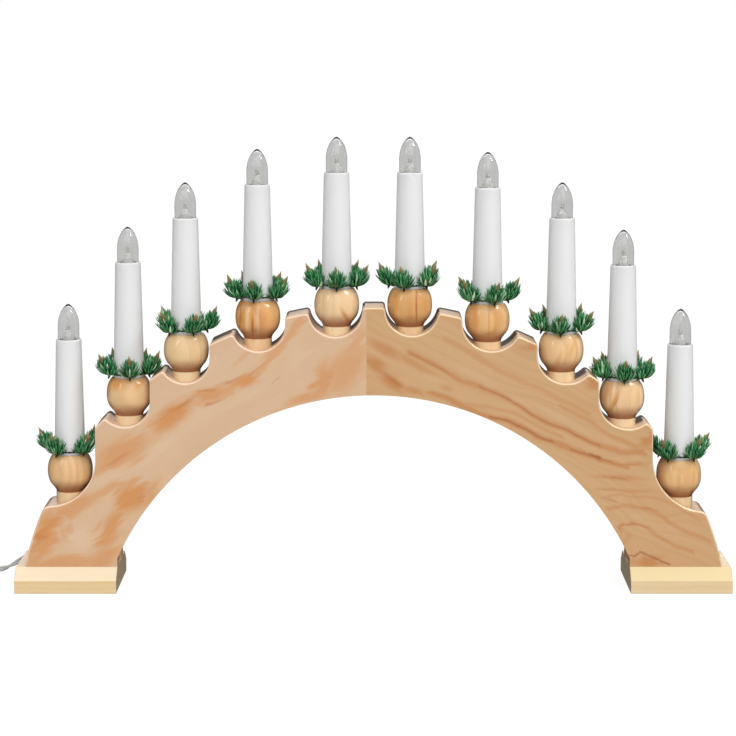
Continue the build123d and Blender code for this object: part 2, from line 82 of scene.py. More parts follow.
# ------------------------------------------------------------------ node helpers
class Mat:
    """A material with a Principled shader, and short names for the nodes before it."""

    def __init__(self, name):
        self.mat = bpy.data.materials.new(name)
        self.mat.use_nodes = True
        self.nt = self.mat.node_tree
        self.nt.nodes.clear()
        self.out = self.nt.nodes.new("ShaderNodeOutputMaterial")
        self.bsdf = self.nt.nodes.new("ShaderNodeBsdfPrincipled")
        self.nt.links.new(self.bsdf.outputs[0], self.out.inputs[0])

    def put(self, socket, value):
        if value is None:
            return
        if isinstance(value, bpy.types.NodeSocket):
            self.nt.links.new(value, socket)
        else:
            socket.default_value = value

    def set(self, **values):
        for key, value in values.items():
            self.put(self.bsdf.inputs[key.replace("_", " ")], value)
        return self

    def math(self, op, a, b=None, c=None, clamp=False):
        n = self.nt.nodes.new("ShaderNodeMath")
        n.operation = op
        n.use_clamp = clamp
        for k, v in enumerate((a, b, c)):
            self.put(n.inputs[k], v)
        return n.outputs[0]

    def vec(self, op, a, b=None, scale=None):
        n = self.nt.nodes.new("ShaderNodeVectorMath")
        n.operation = op
        self.put(n.inputs[0], a)
        self.put(n.inputs[1], b)
        if scale is not None:
            self.put(n.inputs["Scale"], scale)
        return n.outputs["Value"] if op in ("LENGTH", "DOT_PRODUCT", "DISTANCE") else n.outputs[0]

    def join(self, x, y, z):
        n = self.nt.nodes.new("ShaderNodeCombineXYZ")
        for k, v in enumerate((x, y, z)):
            self.put(n.inputs[k], v)
        return n.outputs[0]

    def split(self, v):
        n = self.nt.nodes.new("ShaderNodeSeparateXYZ")
        self.put(n.inputs[0], v)
        return n.outputs

    def noise(self, vector, scale=1.0, detail=2.0, rough=0.5, distortion=0.0, colour=False):
        n = self.nt.nodes.new("ShaderNodeTexNoise")
        n.noise_dimensions = "3D"
        self.put(n.inputs["Vector"], vector)
        n.inputs["Scale"].default_value = scale
        n.inputs["Detail"].default_value = detail
        n.inputs["Roughness"].default_value = rough
        n.inputs["Distortion"].default_value = distortion
        return n.outputs["Color"] if colour else n.outputs["Fac"]

    def span(self, v, a, b, lo=0.0, hi=1.0, smooth=True):
        n = self.nt.nodes.new("ShaderNodeMapRange")
        n.interpolation_type = "SMOOTHSTEP" if smooth else "LINEAR"
        n.clamp = True
        self.put(n.inputs[0], v)
        for k, x in zip((1, 2, 3, 4), (a, b, lo, hi)):
            self.put(n.inputs[k], x)
        return n.outputs[0]

    def mix(self, fac, a, b, kind="MIX"):
        n = self.nt.nodes.new("ShaderNodeMix")
        n.data_type = "RGBA"
        n.blend_type = kind
        n.clamp_factor = True
        self.put(n.inputs[0], fac)
        self.put(n.inputs[6], a)
        self.put(n.inputs[7], b)
        return n.outputs[2]

    def ramp(self, fac, stops):
        n = self.nt.nodes.new("ShaderNodeValToRGB")
        e = n.color_ramp.elements
        while len(e) > 1:
            e.remove(e[-1])
        e[0].position, e[0].color = stops[0]
        for pos, col in stops[1:]:
            x = e.new(pos)
            x.color = col
        self.put(n.inputs[0], fac)
        return n.outputs[0]

    def bump(self, height, strength=0.2, distance=0.0005):
        n = self.nt.nodes.new("ShaderNodeBump")
        n.inputs["Strength"].default_value = strength
        n.inputs["Distance"].default_value = distance
        self.put(n.inputs["Height"], height)
        self.put(self.bsdf.inputs["Normal"], n.outputs[0])

    def place(self):
        """The place on the object, in millimetres."""
        n = self.nt.nodes.new("ShaderNodeTexCoord")
        return self.vec("SCALE", n.outputs["Object"], scale=1000.0)

    def attribute(self, name):
        n = self.nt.nodes.new("ShaderNodeAttribute")
        n.attribute_name = name
        return n.outputs["Fac"]


# ------------------------------------------------------------------ wood
def wood(name, along, across, depth, base, warm, late, pith=(40.0, -60.0), spacing=4.0,
         ring_strength=0.35, warp=6.0, warp_scale=0.012, stroke_warp=4.0, fibre_strength=0.1,
         blotch=0.5, orange=(), dark=(), pale=(), stroke_cols=None, knots=(), under_ball_shade=None, core=0.05, painted_edge_light=None, painted_edge_light_part=0.85, feather=0.0,
         roughness=0.36, coat=0.35, coat_rough=0.18, offset=(0, 0, 0), centre=(0, 0, 0)):
    """Lacquered softwood cut from a log: year rings round an axis beside the piece, fibres along it,
    broad coloured sweeps, and knots that push the rings aside."""
    m = Mat(name)
    p = m.vec("SUBTRACT", m.place(), tuple(float(v) for v in centre))
    slow = m.noise(m.vec("ADD", p, tuple(float(v) for v in offset)), warp_scale, 2.0, 0.5, colour=True)
    shift = m.vec("SCALE", m.vec("SUBTRACT", slow, (0.5, 0.5, 0.5)), scale=warp * 2.0)
    q = m.vec("ADD", p, shift)
    u = m.vec("DOT_PRODUCT", p, tuple(along))
    v = m.vec("DOT_PRODUCT", q, tuple(across))
    w = m.vec("DOT_PRODUCT", q, tuple(depth))
    # knots push the rings aside
    for kx, kz, ang, kl, kw, push in knots:
        ca, sa = math.cos(math.radians(ang)), math.sin(math.radians(ang))
        d = m.vec("SUBTRACT", p, (kx, 0.0, kz))
        a = m.vec("DOT_PRODUCT", d, (ca / kl, 0.0, sa / kl))
        b = m.vec("DOT_PRODUCT", d, (-sa / kw, 0.0, ca / kw))
        r = m.vec("LENGTH", m.join(a, b, 0.0))
        v = m.math("ADD", v, m.span(r, 0.0, 1.0, push, 0.0))
    rr = m.vec("LENGTH", m.join(m.math("SUBTRACT", v, pith[0]), m.math("SUBTRACT", w, pith[1]), m.math("MULTIPLY", u, 0.012)))
    uneven = m.noise(m.join(m.math("MULTIPLY", rr, 0.06), 3.1, 7.7), 1.0, 1.0)
    phase = m.math("ADD", m.math("DIVIDE", rr, spacing), m.math("MULTIPLY", uneven, 3.0))
    frac = m.math("FRACT", phase)
    late_part = m.math("MULTIPLY", m.span(frac, 0.25, 0.88), m.span(frac, 0.9, 1.0, 1.0, 0.0))
    wn = m.nt.nodes.new("ShaderNodeTexWhiteNoise")
    wn.noise_dimensions = "1D"
    m.put(wn.inputs["W"], m.math("FLOOR", phase))
    ring = m.math("MULTIPLY", late_part, m.span(wn.outputs["Value"], 0.0, 1.0, 0.35, 1.0, False))
    # fibres and resin ducts
    fib = m.noise(m.join(m.math("MULTIPLY", u, 0.045), m.math("MULTIPLY", v, 1.9), m.math("MULTIPLY", w, 1.9)), 1.0, 3.0, 0.6)
    fine = m.noise(m.join(m.math("MULTIPLY", u, 0.16), m.math("MULTIPLY", v, 5.5), m.math("MULTIPLY", w, 5.5)), 1.0, 2.0, 0.55)
    duct = m.noise(m.join(m.math("MULTIPLY", u, 0.24), m.math("MULTIPLY", v, 2.6), m.math("MULTIPLY", w, 2.6)), 1.0, 1.0, 0.5)
    duct = m.span(duct, 0.70, 0.80)
    big = m.noise(m.join(m.math("MULTIPLY", u, 0.008), m.math("MULTIPLY", v, 0.03), m.math("MULTIPLY", w, 0.03)), 1.0, 2.0, 0.5)
    col = m.mix(m.math("MULTIPLY", m.span(big, 0.35, 0.68), blotch), base, warm)
    col = m.mix(m.math("MULTIPLY", ring, ring_strength), col, late)
    # broad sweeps, in front-view millimetres
    if orange or dark or pale:
        sw = m.noise(p, 0.035, 3.0, 0.55, colour=True)
        sp = m.vec("ADD", p, m.vec("SCALE", m.vec("SUBTRACT", sw, (0.5, 0.5, 0.5)), scale=stroke_warp * 2.0))
        if feather:
            # the colour runs further along some fibres than along others
            fw = m.noise(m.join(m.math("MULTIPLY", u, 0.018), m.math("MULTIPLY", v, 0.17), m.math("MULTIPLY", w, 0.17)), 1.0, 4.0, 0.62)
            sp = m.vec("ADD", sp, m.vec("SCALE", tuple(along), scale=m.math("MULTIPLY", m.math("SUBTRACT", fw, 0.5), feather * 2.0)))
        streak = m.span(fib, 0.3, 0.7, 0.72, 1.0, False)
        for strokes, tint in zip((orange, dark, pale), stroke_cols):
            total = None
            for sx, sz, ang, sl, sww, strength, bend in strokes:
                ca, sa = math.cos(math.radians(ang)), math.sin(math.radians(ang))
                d = m.vec("SUBTRACT", sp, (sx, 0.0, sz))
                a = m.vec("DOT_PRODUCT", d, (ca / sl, 0.0, sa / sl))
                b = m.vec("DOT_PRODUCT", d, (-sa / sww, 0.0, ca / sww))
                if bend is None:
                    over = m.math("SUBTRACT", a, m.math("MINIMUM", m.math("MAXIMUM", a, -1.0), 1.0))
                    a = m.math("MULTIPLY", over, sl / sww)
                elif bend:
                    b = m.math("ADD", b, m.math("MULTIPLY", m.math("MULTIPLY", a, a), bend))
                r = m.vec("LENGTH", m.join(a, b, 0.0))
                one = m.span(r, core, 1.0, strength, 0.0)
                total = one if total is None else m.math("MAXIMUM", total, one)
            if total is not None:
                col = m.mix(m.math("MULTIPLY", total, streak), col, tint)
    shade = m.math("ADD", m.math("MULTIPLY", m.math("SUBTRACT", fib, 0.5), fibre_strength * 2.0),
                   m.math("MULTIPLY", m.math("SUBTRACT", fine, 0.5), fibre_strength * 1.2))
    shade = m.math("SUBTRACT", m.math("ADD", shade, 1.0), m.math("MULTIPLY", duct, 0.16))
    col = m.mix(1.0, col, m.join(shade, shade, shade), "MULTIPLY")
    if painted_edge_light:
        # painted light: the rounded front edges and chamfers are mixed towards a given edge colour; on the scallops, a
        # pale painted sheen on walls and tops, painted shade on walls facing +x, and near-black painted shade on walls
        # facing -x and along the back edge; the coat is thinner on these walls
        nx, ny, nz = m.split(m.nt.nodes.new("ShaderNodeNewGeometry").outputs["Normal"])
        up = m.span(nz, -0.35, 0.0)
        front = m.math("MULTIPLY", m.span(ny, -0.985, -0.80), m.span(ny, -0.35, -0.08, 1.0, 0.0))
        # painted light: edges and chamfers facing front and up are mixed towards the edge colour, paler than the wood
        # on the planks and the left foot (a painted highlight), a little darker on the right foot
        col = m.mix(m.math("MULTIPLY", m.math("MULTIPLY", front, up), painted_edge_light_part), col, painted_edge_light)
        wall = m.math("MULTIPLY", m.span(m.math("ABSOLUTE", ny), 0.3, 0.65, 1.0, 0.0), m.span(nz, -0.1, 0.05))
        wall = m.math("MULTIPLY", wall, m.span(m.split(p)[2], 54.0, 66.0))
        # painted sheen: the scallops' walls and tops are mixed towards a pale colour
        col = m.mix(m.math("MULTIPLY", wall, 0.55), col, srgb(232, 204, 176))
        # painted shade: near-black on walls facing -x, strongest towards the back, and on a band along the back edge of
        # the tops
        deep = m.split(p)[1]
        painted_black_shade = m.math("MAXIMUM", m.math("MULTIPLY", m.span(nx, -0.45, -0.12, 1.0, 0.0), m.span(deep, -9.0, 0.0)), m.span(deep, 4.5, 9.5))
        painted_black_shade = m.math("MULTIPLY", m.math("MULTIPLY", painted_black_shade, 0.9), m.span(m.split(p)[2], 54.0, 66.0))
        painted_black_shade = m.math("MULTIPLY", painted_black_shade, m.span(nz, -0.1, 0.05))
        painted_black_shade = m.math("MULTIPLY", painted_black_shade, m.span(ny, 0.75, 0.98, 1.0, 0.0))
        col = m.mix(painted_black_shade, col, srgb(30, 21, 17))
        # painted shade: walls facing +x are darkened towards a grey brown
        col = m.mix(m.math("MULTIPLY", m.math("MULTIPLY", wall, m.span(nx, 0.5, 0.85)), 0.45), col, srgb(116, 90, 76))
        coat = m.math("SUBTRACT", coat, m.math("MULTIPLY", m.math("MAXIMUM", wall, painted_black_shade), coat * 0.9))
    if under_ball_shade:
        # painted shade: the lower part of the ball darkens towards the groove above the neck
        z = m.split(p)[2]
        f = m.math("MULTIPLY", m.span(z, under_ball_shade[0], under_ball_shade[1], 0.0, 1.0), m.span(z, under_ball_shade[2] - 0.5, under_ball_shade[2], 0.0, 1.0, False))
        col = m.mix(m.math("MULTIPLY", f, under_ball_shade[3]), col, srgb(136, 74, 38))
        # painted light: the neck under the ball is painted paler, against the ball's shade
        col = m.mix(m.math("MULTIPLY", m.span(z, -15.6, -14.9, 1.0, 0.0), 0.5), col, srgb(242, 222, 186))
    rough = m.math("ADD", m.math("MULTIPLY", fib, 0.12), roughness - 0.06)
    if painted_edge_light:
        rough = m.math("ADD", rough, m.math("MULTIPLY", painted_black_shade, 0.6), clamp=True)
    m.set(Base_Color=col, Roughness=rough)
    m.set(Coat_Weight=coat, Coat_Roughness=coat_rough, Coat_IOR=1.5, IOR=1.5, Specular_IOR_Level=0.4)
    m.bump(m.math("ADD", m.math("MULTIPLY", fib, 0.7), m.math("MULTIPLY", ring, 0.5)), 0.12, 0.0003)
    return m.mat


def dress(node, *mats):
    o = nodes[node]
    o.data.materials.clear()
    for x in mats:
        o.data.materials.append(x)


def plank_frame(deg):
    a = math.radians(deg)
    return (math.cos(a), 0.0, math.sin(a)), (-math.sin(a), 0.0, math.cos(a)), (0.0, 1.0, 0.0)


# strokes: x, z, direction, half length, half width, strength, bend
def along_line(points, width, strength, reach=0.5):
    """Even strokes with round ends, one after the other along a line of (x, z) points."""
    out = []
    for (x0, z0), (x1, z1) in zip(points, points[1:]):
        out.append(((x0 + x1) / 2, (z0 + z1) / 2, math.degrees(math.atan2(z1 - z0, x1 - x0)),
                    math.hypot(x1 - x0, z1 - z0) * reach, width, strength, None))
    return out


left_orange = [
    (-141, 122, 34, 25, 11.5, 1.0, 0.1), (-113, 139, 20, 26, 7.0, 0.85, 0.0), (-92, 147, 26, 17, 7.0, 0.95, 0.0),
    (-176, 97, 30, 32, 13, 0.72, 0.1), (-168, 90, 30, 28, 3.0, 0.65, 0.0), (-180, 92, 24, 14, 5, 0.6, 0.0),
    (-170, 66, 52, 19, 13, 1.0, 0.2), (-184, 42, 64, 27, 11.0, 0.9, 0.0), (-157, 68, 48, 20, 8, 0.65, 0.0),
    (-230, 44, 62, 24, 13, 1.0, 0.0), (-233, 30, 64, 22, 12, 0.8, 0.0), (-208, 60, 24, 32, 8, 0.75, -0.2),
    (-218, 17, 4, 46, 11, 0.7, 0.0), (-188, 22, 30, 24, 11, 0.75, 0.0), (-214, 42, 60, 16, 6, 0.5, 0.0),
    (-33, 149, 72, 20, 11, 0.8, 0.0), (-18, 156, 62, 30, 17, 0.62, 0.0), (-44, 137, 14, 24, 6, 0.7, 0.0),
    (-13, 172, 80, 22, 9, 0.5, 0.0), (-62, 128, 22, 18, 4.5, 0.4, 0.0), (-90, 166, 40, 20, 3.0, 0.35, 0.0),
] + along_line([(-96, 144), (-84, 151), (-72, 164), (-58, 180), (-48, 190)], 5.0, 0.6) \
  + along_line([(-128, 129), (-116, 133), (-104, 137)], 3.0, 0.5) \
  + along_line([(-206, 60), (-190, 70), (-176, 76), (-160, 74)], 4.0, 0.6)
left_dark = [
    (-136, 128, 30, 18, 2.2, 0.4, 0.0), (-99, 149, 20, 12, 2.0, 0.5, 0.0), (-116, 141, 18, 10, 1.4, 0.5, 0.0),
    (-115, 131, 34, 7, 1.5, 0.6, 0.0), (-68, 147, 36, 5, 1.0, 0.5, 0.0), (-74, 183, 30, 6, 0.8, 0.35, 0.0),
    (-176, 94, 26, 12, 1.6, 0.35, 0.0), (-163, 66, 60, 12, 2.4, 0.35, 0.0), (-232, 40, 68, 12, 3.0, 0.4, 0.0),
    (-82, 156, 44, 11, 1.2, 0.45, 0.0), (-197, 40, 74, 9, 0.7, 0.3, 0.0), (-209, 44, 50, 8, 0.7, 0.3, 0.0),
]
left_pale = [
    (-203, 38, 15, 17, 14, 0.8, 0.0), (-182, 82, 26, 20, 5.5, 0.7, 0.0), (-152, 98, 34, 28, 7, 0.75, 0.0),
    (-122, 120, 34, 26, 7, 0.5, 0.0), (-96, 133, 28, 26, 5.5, 0.5, 0.0), (-52, 163, 60, 20, 9, 0.6, 0.0),
    (-116, 160, 34, 20, 8, 0.35, 0.0), (-148, 76, 50, 14, 7, 0.5, 0.0),
]
along, across, depth = plank_frame(30.0)
pine_left = wood("pine_left", along, across, depth, srgb(216, 181, 146), srgb(213, 172, 130), srgb(200, 150, 104),
                 pith=(150.0, 95.0), spacing=11.0, ring_strength=0.15, warp=14.0, warp_scale=0.011, stroke_warp=5.5,
                 fibre_strength=0.04, blotch=0.55, orange=left_orange, dark=left_dark, pale=left_pale,
                 stroke_cols=(srgb(210, 139, 71), srgb(186, 112, 58), srgb(221, 189, 155)), core=0.22, feather=20.0,
                 knots=[(-200, 41, 20, 26, 22, 16.0)], roughness=0.40, coat=1.0, coat_rough=0.09, centre=(0.0, ARCH_Y, 1.6), painted_edge_light=srgb(243, 214, 188))

right_orange = [
    (10, 169, -30, 22, 6.0, 0.8, 0.0), (2, 159, -42, 14, 7.0, 0.95, 0.0), (13, 147, -34, 16, 6.5, 1.0, 0.0),
    (28, 141, -14, 14, 4.0, 0.7, 0.0), (50, 143, -25, 9, 4.5, 0.55, 0.0), (30, 159, -30, 24, 4.5, 0.6, 0.0),
    (192, 105, 78, 10, 6.0, 0.85, 0.0), (155, 146, 44, 9, 7.0, 0.85, 0.0), (108, 172, 10, 9, 4.5, 0.7, 0.0),
    (193, 19, 8, 17, 6.0, 0.9, -0.7), (176, 36, 70, 10, 4.0, 0.4, 0.0), (16, 190, -48, 14, 5.0, 0.5, 0.0),
    (172, 79, -2, 30, 3.0, 0.6, 0.0), (178, 90, 0, 26, 2.6, 0.55, 0.0), (176, 70, 0, 30, 2.4, 0.5, 0.0),
] + along_line([(24, 168), (41, 160), (52, 153), (64, 146), (75, 143), (89, 138), (103, 128), (117, 120), (131, 114), (143, 108), (159, 102), (173, 98), (190, 97)], 3.4, 0.75) \
  + along_line([(40, 139), (53, 134), (66, 128), (82, 121), (96, 118), (106, 114), (117, 108), (126, 104), (138, 99), (148, 96), (159, 92), (176, 88)], 3.4, 0.85) \
  + along_line([(50, 178), (66, 168), (82, 158), (100, 149), (118, 141), (136, 132), (150, 124)], 2.8, 0.4) \
  + along_line([(58, 132), (76, 130), (96, 125), (114, 117), (134, 106)], 2.4, 0.4) \
  + along_line([(130, 130), (148, 120), (166, 109), (184, 101), (196, 99)], 2.4, 0.5) \
  + along_line([(165, 56), (176, 58), (190, 57), (198, 54), (206, 48), (217, 42), (236, 34)], 2.6, 0.55) \
  + along_line([(172, 42), (181, 45), (191, 44), (199, 37), (211, 30), (224, 26)], 2.4, 0.55) \
  + along_line([(160, 64), (180, 66), (200, 64), (216, 56), (230, 48)], 2.0, 0.35)
right_dark = along_line([(75, 143), (89, 138), (103, 128), (117, 120), (131, 114), (143, 108), (159, 102)], 1.1, 0.45) \
  + along_line([(82, 121), (96, 118), (106, 114), (117, 108), (126, 104)], 1.3, 0.6) \
  + along_line([(138, 99), (148, 96), (159, 92)], 1.2, 0.55) \
  + along_line([(179, 23), (187, 26), (197, 22), (206, 18)], 1.3, 0.75) \
  + along_line([(172, 42), (181, 45), (191, 43)], 0.9, 0.4) \
  + along_line([(24, 168), (41, 160), (52, 153)], 1.2, 0.35) + [
    (155.5, 94.5, -22, 5.5, 2.2, 1.0, 0.0), (162, 92, -24, 9, 0.9, 0.6, 0.0), (12, 149, -36, 16, 2.6, 0.35, 0.0),
    (168, 62, -20, 8, 0.9, 0.45, 0.0), (170, 79, 0, 12, 0.9, 0.45, 0.0), (192, 57, -10, 12, 0.7, 0.35, 0.0),
    (120, 134, -20, 16, 0.8, 0.25, 0.0), (178, 90, 0, 16, 0.7, 0.3, 0.0), (162, 70, 0, 12, 0.7, 0.3, 0.0),
]
right_pale = [(70, 152, -28, 30, 5, 0.4, 0.0), (130, 121, -30, 34, 4.0, 0.4, 0.0), (44, 148, -28, 20, 3.5, 0.4, 0.0),
              (205, 74, -20, 20, 8, 0.3, 0.0), (100, 134, -30, 22, 3.0, 0.4, 0.0), (186, 51, -4, 12, 2.5, 0.35, 0.0)]
along, across, depth = plank_frame(-25.0)
pine_right = wood("pine_right", along, across, depth, srgb(206, 165, 118), srgb(203, 157, 108), srgb(187, 131, 78),
                  pith=(230.0, -40.0), spacing=7.5, ring_strength=0.20, warp=10.0, warp_scale=0.012, stroke_warp=2.6,
                  fibre_strength=0.045, blotch=0.6, orange=right_orange, dark=right_dark, pale=right_pale,
                  stroke_cols=(srgb(193, 127, 68), srgb(160, 92, 46), srgb(211, 177, 137)), core=0.15, feather=9.0,
                  knots=[(157, 93, -18, 20, 12, 7.0), (192, 20, 10, 22, 14, 9.0), (196, 52, -15, 28, 18, 8.0)],
                  roughness=0.40, coat=1.0, coat_rough=0.09, centre=(0.0, ARCH_Y, 1.6), painted_edge_light=srgb(243, 218, 180))
dress("arch_left", pine_left)
dress("arch_right", pine_right)

along, across, depth = (1, 0, 0), (0, 0, 1), (0, 1, 0)
# the last colour of each foot is painted light for its chamfers and rounded front edges
for name, off, pith, base, warm, chamfer_light in (
        ("foot_left", (0, 0, 0), (52.0, -12.0), srgb(229, 201, 152), srgb(227, 192, 138), srgb(227, 212, 184)),
        ("foot_right", (300, 40, 12), (-46.0, 18.0), srgb(230, 206, 166), srgb(228, 198, 150), srgb(218, 199, 148))):
    foot = wood("pine_" + name, along, across, depth, base, warm, srgb(212, 166, 114),
                pith=pith, spacing=4.6, ring_strength=0.34, warp=2.2, warp_scale=0.02, fibre_strength=0.07,
                blotch=0.7, roughness=0.40, coat=1.0, coat_rough=0.10, offset=off, painted_edge_light=chamfer_light, painted_edge_light_part=0.7)
    dress(name, foot)

cover = wood("pine_cover", (1, 0, 0), (0, 1, 0), (0, 0, 1), srgb(204, 170, 128), srgb(206, 160, 112), srgb(172, 120, 74),
             pith=(30.0, 20.0), spacing=3.0, ring_strength=0.4, fibre_strength=0.1, coat=0.1)
dress("wiring_cover", cover)
dress("arch_dowels", wood("beech_dowel", (1, 0, 0), (0, 1, 0), (0, 0, 1), srgb(206, 172, 128), srgb(210, 168, 120),
                          srgb(176, 132, 88), pith=(12.0, 8.0), spacing=1.6, ring_strength=0.35, coat=0.0, roughness=0.6))

# turned holders: each from its own stick, so each has its own figure
HOLDERS = [
    # base, warm, late, pith, spacing, rings, orange strokes, dark strokes (x from the axis, z from the widest level)
    dict(base=(221, 190, 146), warm=(218, 178, 128), late=(190, 138, 88), pith=(24, 6), spacing=5.0, ring=0.30),
    dict(base=(222, 194, 152), warm=(219, 182, 132), late=(196, 142, 88), pith=(-12, 20), spacing=6.0, ring=0.26,
         orange=[(-8, 9, 4, 14, 8, 1.0, 0.0), (-13, 6, 80, 10, 5, 0.9, 0.0), (9, 9, 60, 8, 4, 0.7, 0.0)]),
    dict(base=(224, 199, 158), warm=(222, 190, 144), late=(200, 156, 108), pith=(20, 18), spacing=6.0, ring=0.24),
    dict(base=(222, 184, 132), warm=(210, 150, 88), late=(176, 104, 52), pith=(9, 13), spacing=7.0, ring=0.55,
         orange=[(-10.5, -3, 88, 24, 3.6, 1.0, 0.0), (-3.0, -5, 90, 26, 2.6, 1.0, 0.0), (11, 0, 88, 16, 4.0, 0.35, 0.0)],
         dark=[(-2.8, -8, 90, 14, 1.3, 0.8, 0.0), (-11.5, 2, 86, 14, 1.4, 0.6, 0.0)],
         pale=[(-6.6, -2, 90, 20, 1.8, 0.5, 0.0), (1.0, -2, 90, 20, 1.6, 0.4, 0.0)]),
    dict(base=(229, 203, 166), warm=(226, 196, 152), late=(200, 156, 108), pith=(26, -10), spacing=7.0, ring=0.28,
         orange=[(7, -8, 116, 12, 2.6, 0.8, 0.0)], dark=[(6, -7, 116, 8, 0.8, 0.4, 0.0)]),
    dict(base=(221, 180, 126), warm=(214, 166, 106), late=(184, 122, 68), pith=(-7, 22), spacing=5.4, ring=0.45,
         orange=[(0, -4, 90, 24, 3.2, 0.6, 0.0), (-10, 2, 84, 16, 3.4, 0.7, 0.0), (11, 0, 90, 18, 2.6, 0.5, 0.0)],
         dark=[(4.6, 0, 90, 22, 1.0, 0.8, 0.0)]),
    dict(base=(222, 184, 134), warm=(216, 168, 110), late=(186, 126, 74), pith=(6, 21), spacing=5.0, ring=0.38,
         orange=[(-9, 0, 90, 18, 4.0, 0.75, 0.0), (5, -2, 90, 16, 1.6, 0.45, 0.0)], dark=[(0.6, 0, 90, 18, 0.8, 0.4, 0.0)]),
    dict(base=(226, 196, 152), warm=(222, 184, 134), late=(190, 136, 86), pith=(15, 16), spacing=5.6, ring=0.34,
         orange=[(-4, -8, 70, 12, 3.0, 0.6, 0.0), (7, 3, 70, 10, 2.0, 0.4, 0.0)]),
    dict(base=(228, 200, 160), warm=(224, 188, 142), late=(190, 136, 84), pith=(-16, -8), spacing=6.4, ring=0.36,
         orange=[(-7, -2, 66, 15, 1.9, 0.9, 0.4), (-11, 5, 72, 10, 2.8, 0.5, 0.0)],
         dark=[(-6.4, -4, 66, 10, 0.9, 0.6, 0.4)]),
    dict(base=(224, 190, 142), warm=(218, 176, 124), late=(186, 130, 80), pith=(10, 24), spacing=4.8, ring=0.38,
         orange=[(-2, -2, 88, 16, 2.6, 0.45, 0.0), (9, 2, 84, 14, 2.0, 0.4, 0.0)]),
]
for k, (x, tip, h) in enumerate(zip(CANDLE_X, TIP_Z, HOLDERS), start=1):
    mat = wood(f"turned_{k:02d}", (0, 0, 1), (1, 0, 0), (0, 1, 0), srgb(*[a * c for a, c in zip((1.05, 1.02, 0.985), h["base"])]), srgb(*[a * c for a, c in zip((1.05, 1.01, 0.97), h["warm"])]), srgb(*h["late"]),
               pith=h["pith"], spacing=h["spacing"], ring_strength=h["ring"], warp=1.4, warp_scale=0.04,
               stroke_warp=0.9, fibre_strength=0.06, blotch=0.6, core=0.15, orange=h.get("orange", ()), dark=h.get("dark", ()), pale=h.get("pale", ()),
               stroke_cols=(srgb(214, 146, 72), srgb(150, 84, 38), srgb(244, 220, 184)),
               under_ball_shade=(-4.0, -14.4, -14.9, 0.92), roughness=0.26, coat=1.0, coat_rough=0.05,
               centre=(x, ARCH_Y, tip + BALL_FROM_TIP), offset=(37.0 * k, 11.0 * k, 5.0 * k))
    dress(f"holder_{k:02d}", mat)

# ------------------------------------------------------------------ plastics and metals
def plastic(name, colour, roughness=0.35, grain=0.04, grain_scale=1.2, bump=0.05, coat=0.0, uneven=0.03, sub=0.0):
    m = Mat(name)
    p = m.place()
    cloud = m.noise(p, 0.03, 2.0, 0.5)
    speck = m.noise(p, grain_scale, 2.0, 0.6)
    f = m.math("ADD", m.math("MULTIPLY", m.math("SUBTRACT", cloud, 0.5), uneven * 2.0),
               m.math("MULTIPLY", m.math("SUBTRACT", speck, 0.5), grain))
    f = m.math("ADD", f, 1.0)
    m.set(Base_Color=m.mix(1.0, colour, m.join(f, f, f), "MULTIPLY"))
    m.set(Roughness=m.math("ADD", m.math("MULTIPLY", speck, 0.08), roughness - 0.04), Coat_Weight=coat, Coat_Roughness=0.1)
    m.bump(speck, bump, 0.0002)
    return m.mat


def metal(name, colour, roughness=0.28, along=(0, 0, 1)):
    m = Mat(name)
    p = m.place()
    u = m.vec("DOT_PRODUCT", p, along)
    line = m.noise(m.join(m.math("MULTIPLY", u, 6.0), 0.0, 0.0), 1.0, 2.0)
    spot = m.noise(p, 0.9, 3.0, 0.6)
    f = m.math("ADD", m.math("MULTIPLY", m.math("SUBTRACT", spot, 0.5), 0.25), 1.0)
    m.set(Base_Color=m.mix(1.0, colour, m.join(f, f, f), "MULTIPLY"), Metallic=1.0)
    m.set(Roughness=m.math("ADD", m.math("MULTIPLY", line, 0.15), roughness - 0.05))
    m.bump(line, 0.1, 0.0002)
    return m.mat


candle_mat = plastic("candle_white", srgb(229, 229, 229), roughness=0.42, grain=0.012, grain_scale=0.8, bump=0.02, uneven=0.012)
candle_bsdf = candle_mat.node_tree.nodes["Principled BSDF"]
candle_bsdf.inputs["Subsurface Weight"].default_value = 0.6
candle_bsdf.inputs["Subsurface Radius"].default_value = (1.0, 1.0, 1.0)
candle_bsdf.inputs["Subsurface Scale"].default_value = 0.004
for k in range(1, 11):
    dress(f"candle_{k:02d}", candle_mat)
dress("lampholders", plastic("lampholder_white", srgb(226, 224, 216), 0.45))
dress("series_wiring", plastic("wire_sleeve", srgb(214, 214, 208), 0.3))
dress("foot_screws", metal("zinc", srgb(190, 186, 176), 0.3))
dress("cord_grommet", plastic("grommet_white", srgb(214, 214, 210), 0.4, bump=0.08))
dress("coil_tie", plastic("tie_white", srgb(222, 222, 218), 0.4, bump=0.08))
dress("plug_body", plastic("plug_white", srgb(216, 216, 212), 0.38, grain=0.03, grain_scale=2.2, bump=0.15))
dress("plug_pins", metal("pin_nickel", srgb(206, 196, 166), 0.22, (0, 1, 0)))

# ------------------------------------------------------------------ mains lead: a loosely twisted pair
EXIT = (-0.2143, 0.023, 0.0256)
LEAD = [
    EXIT, (-0.2143, 0.0325, 0.0256), (-0.2186, 0.0415, 0.0234), (-0.2276, 0.0466, 0.0204),
    (-0.2386, 0.0462, 0.0168), (-0.2498, 0.0402, 0.0118), (-0.2582, 0.0314, 0.0066), (-0.2664, 0.0240, 0.0032),
    (-0.2752, 0.0240, 0.0024), (-0.2842, 0.0300, 0.0025), (-0.2936, 0.0380, 0.0026),
]
TAIL = [
    (-0.3145, 0.034, 0.0112), (-0.3245, 0.0322, 0.0088), (-0.334, 0.0292, 0.0075),
    (-0.343, 0.0272, 0.0069), (-0.3535, 0.0272, 0.0069),
]
COIL_C = (-0.306, 0.014)


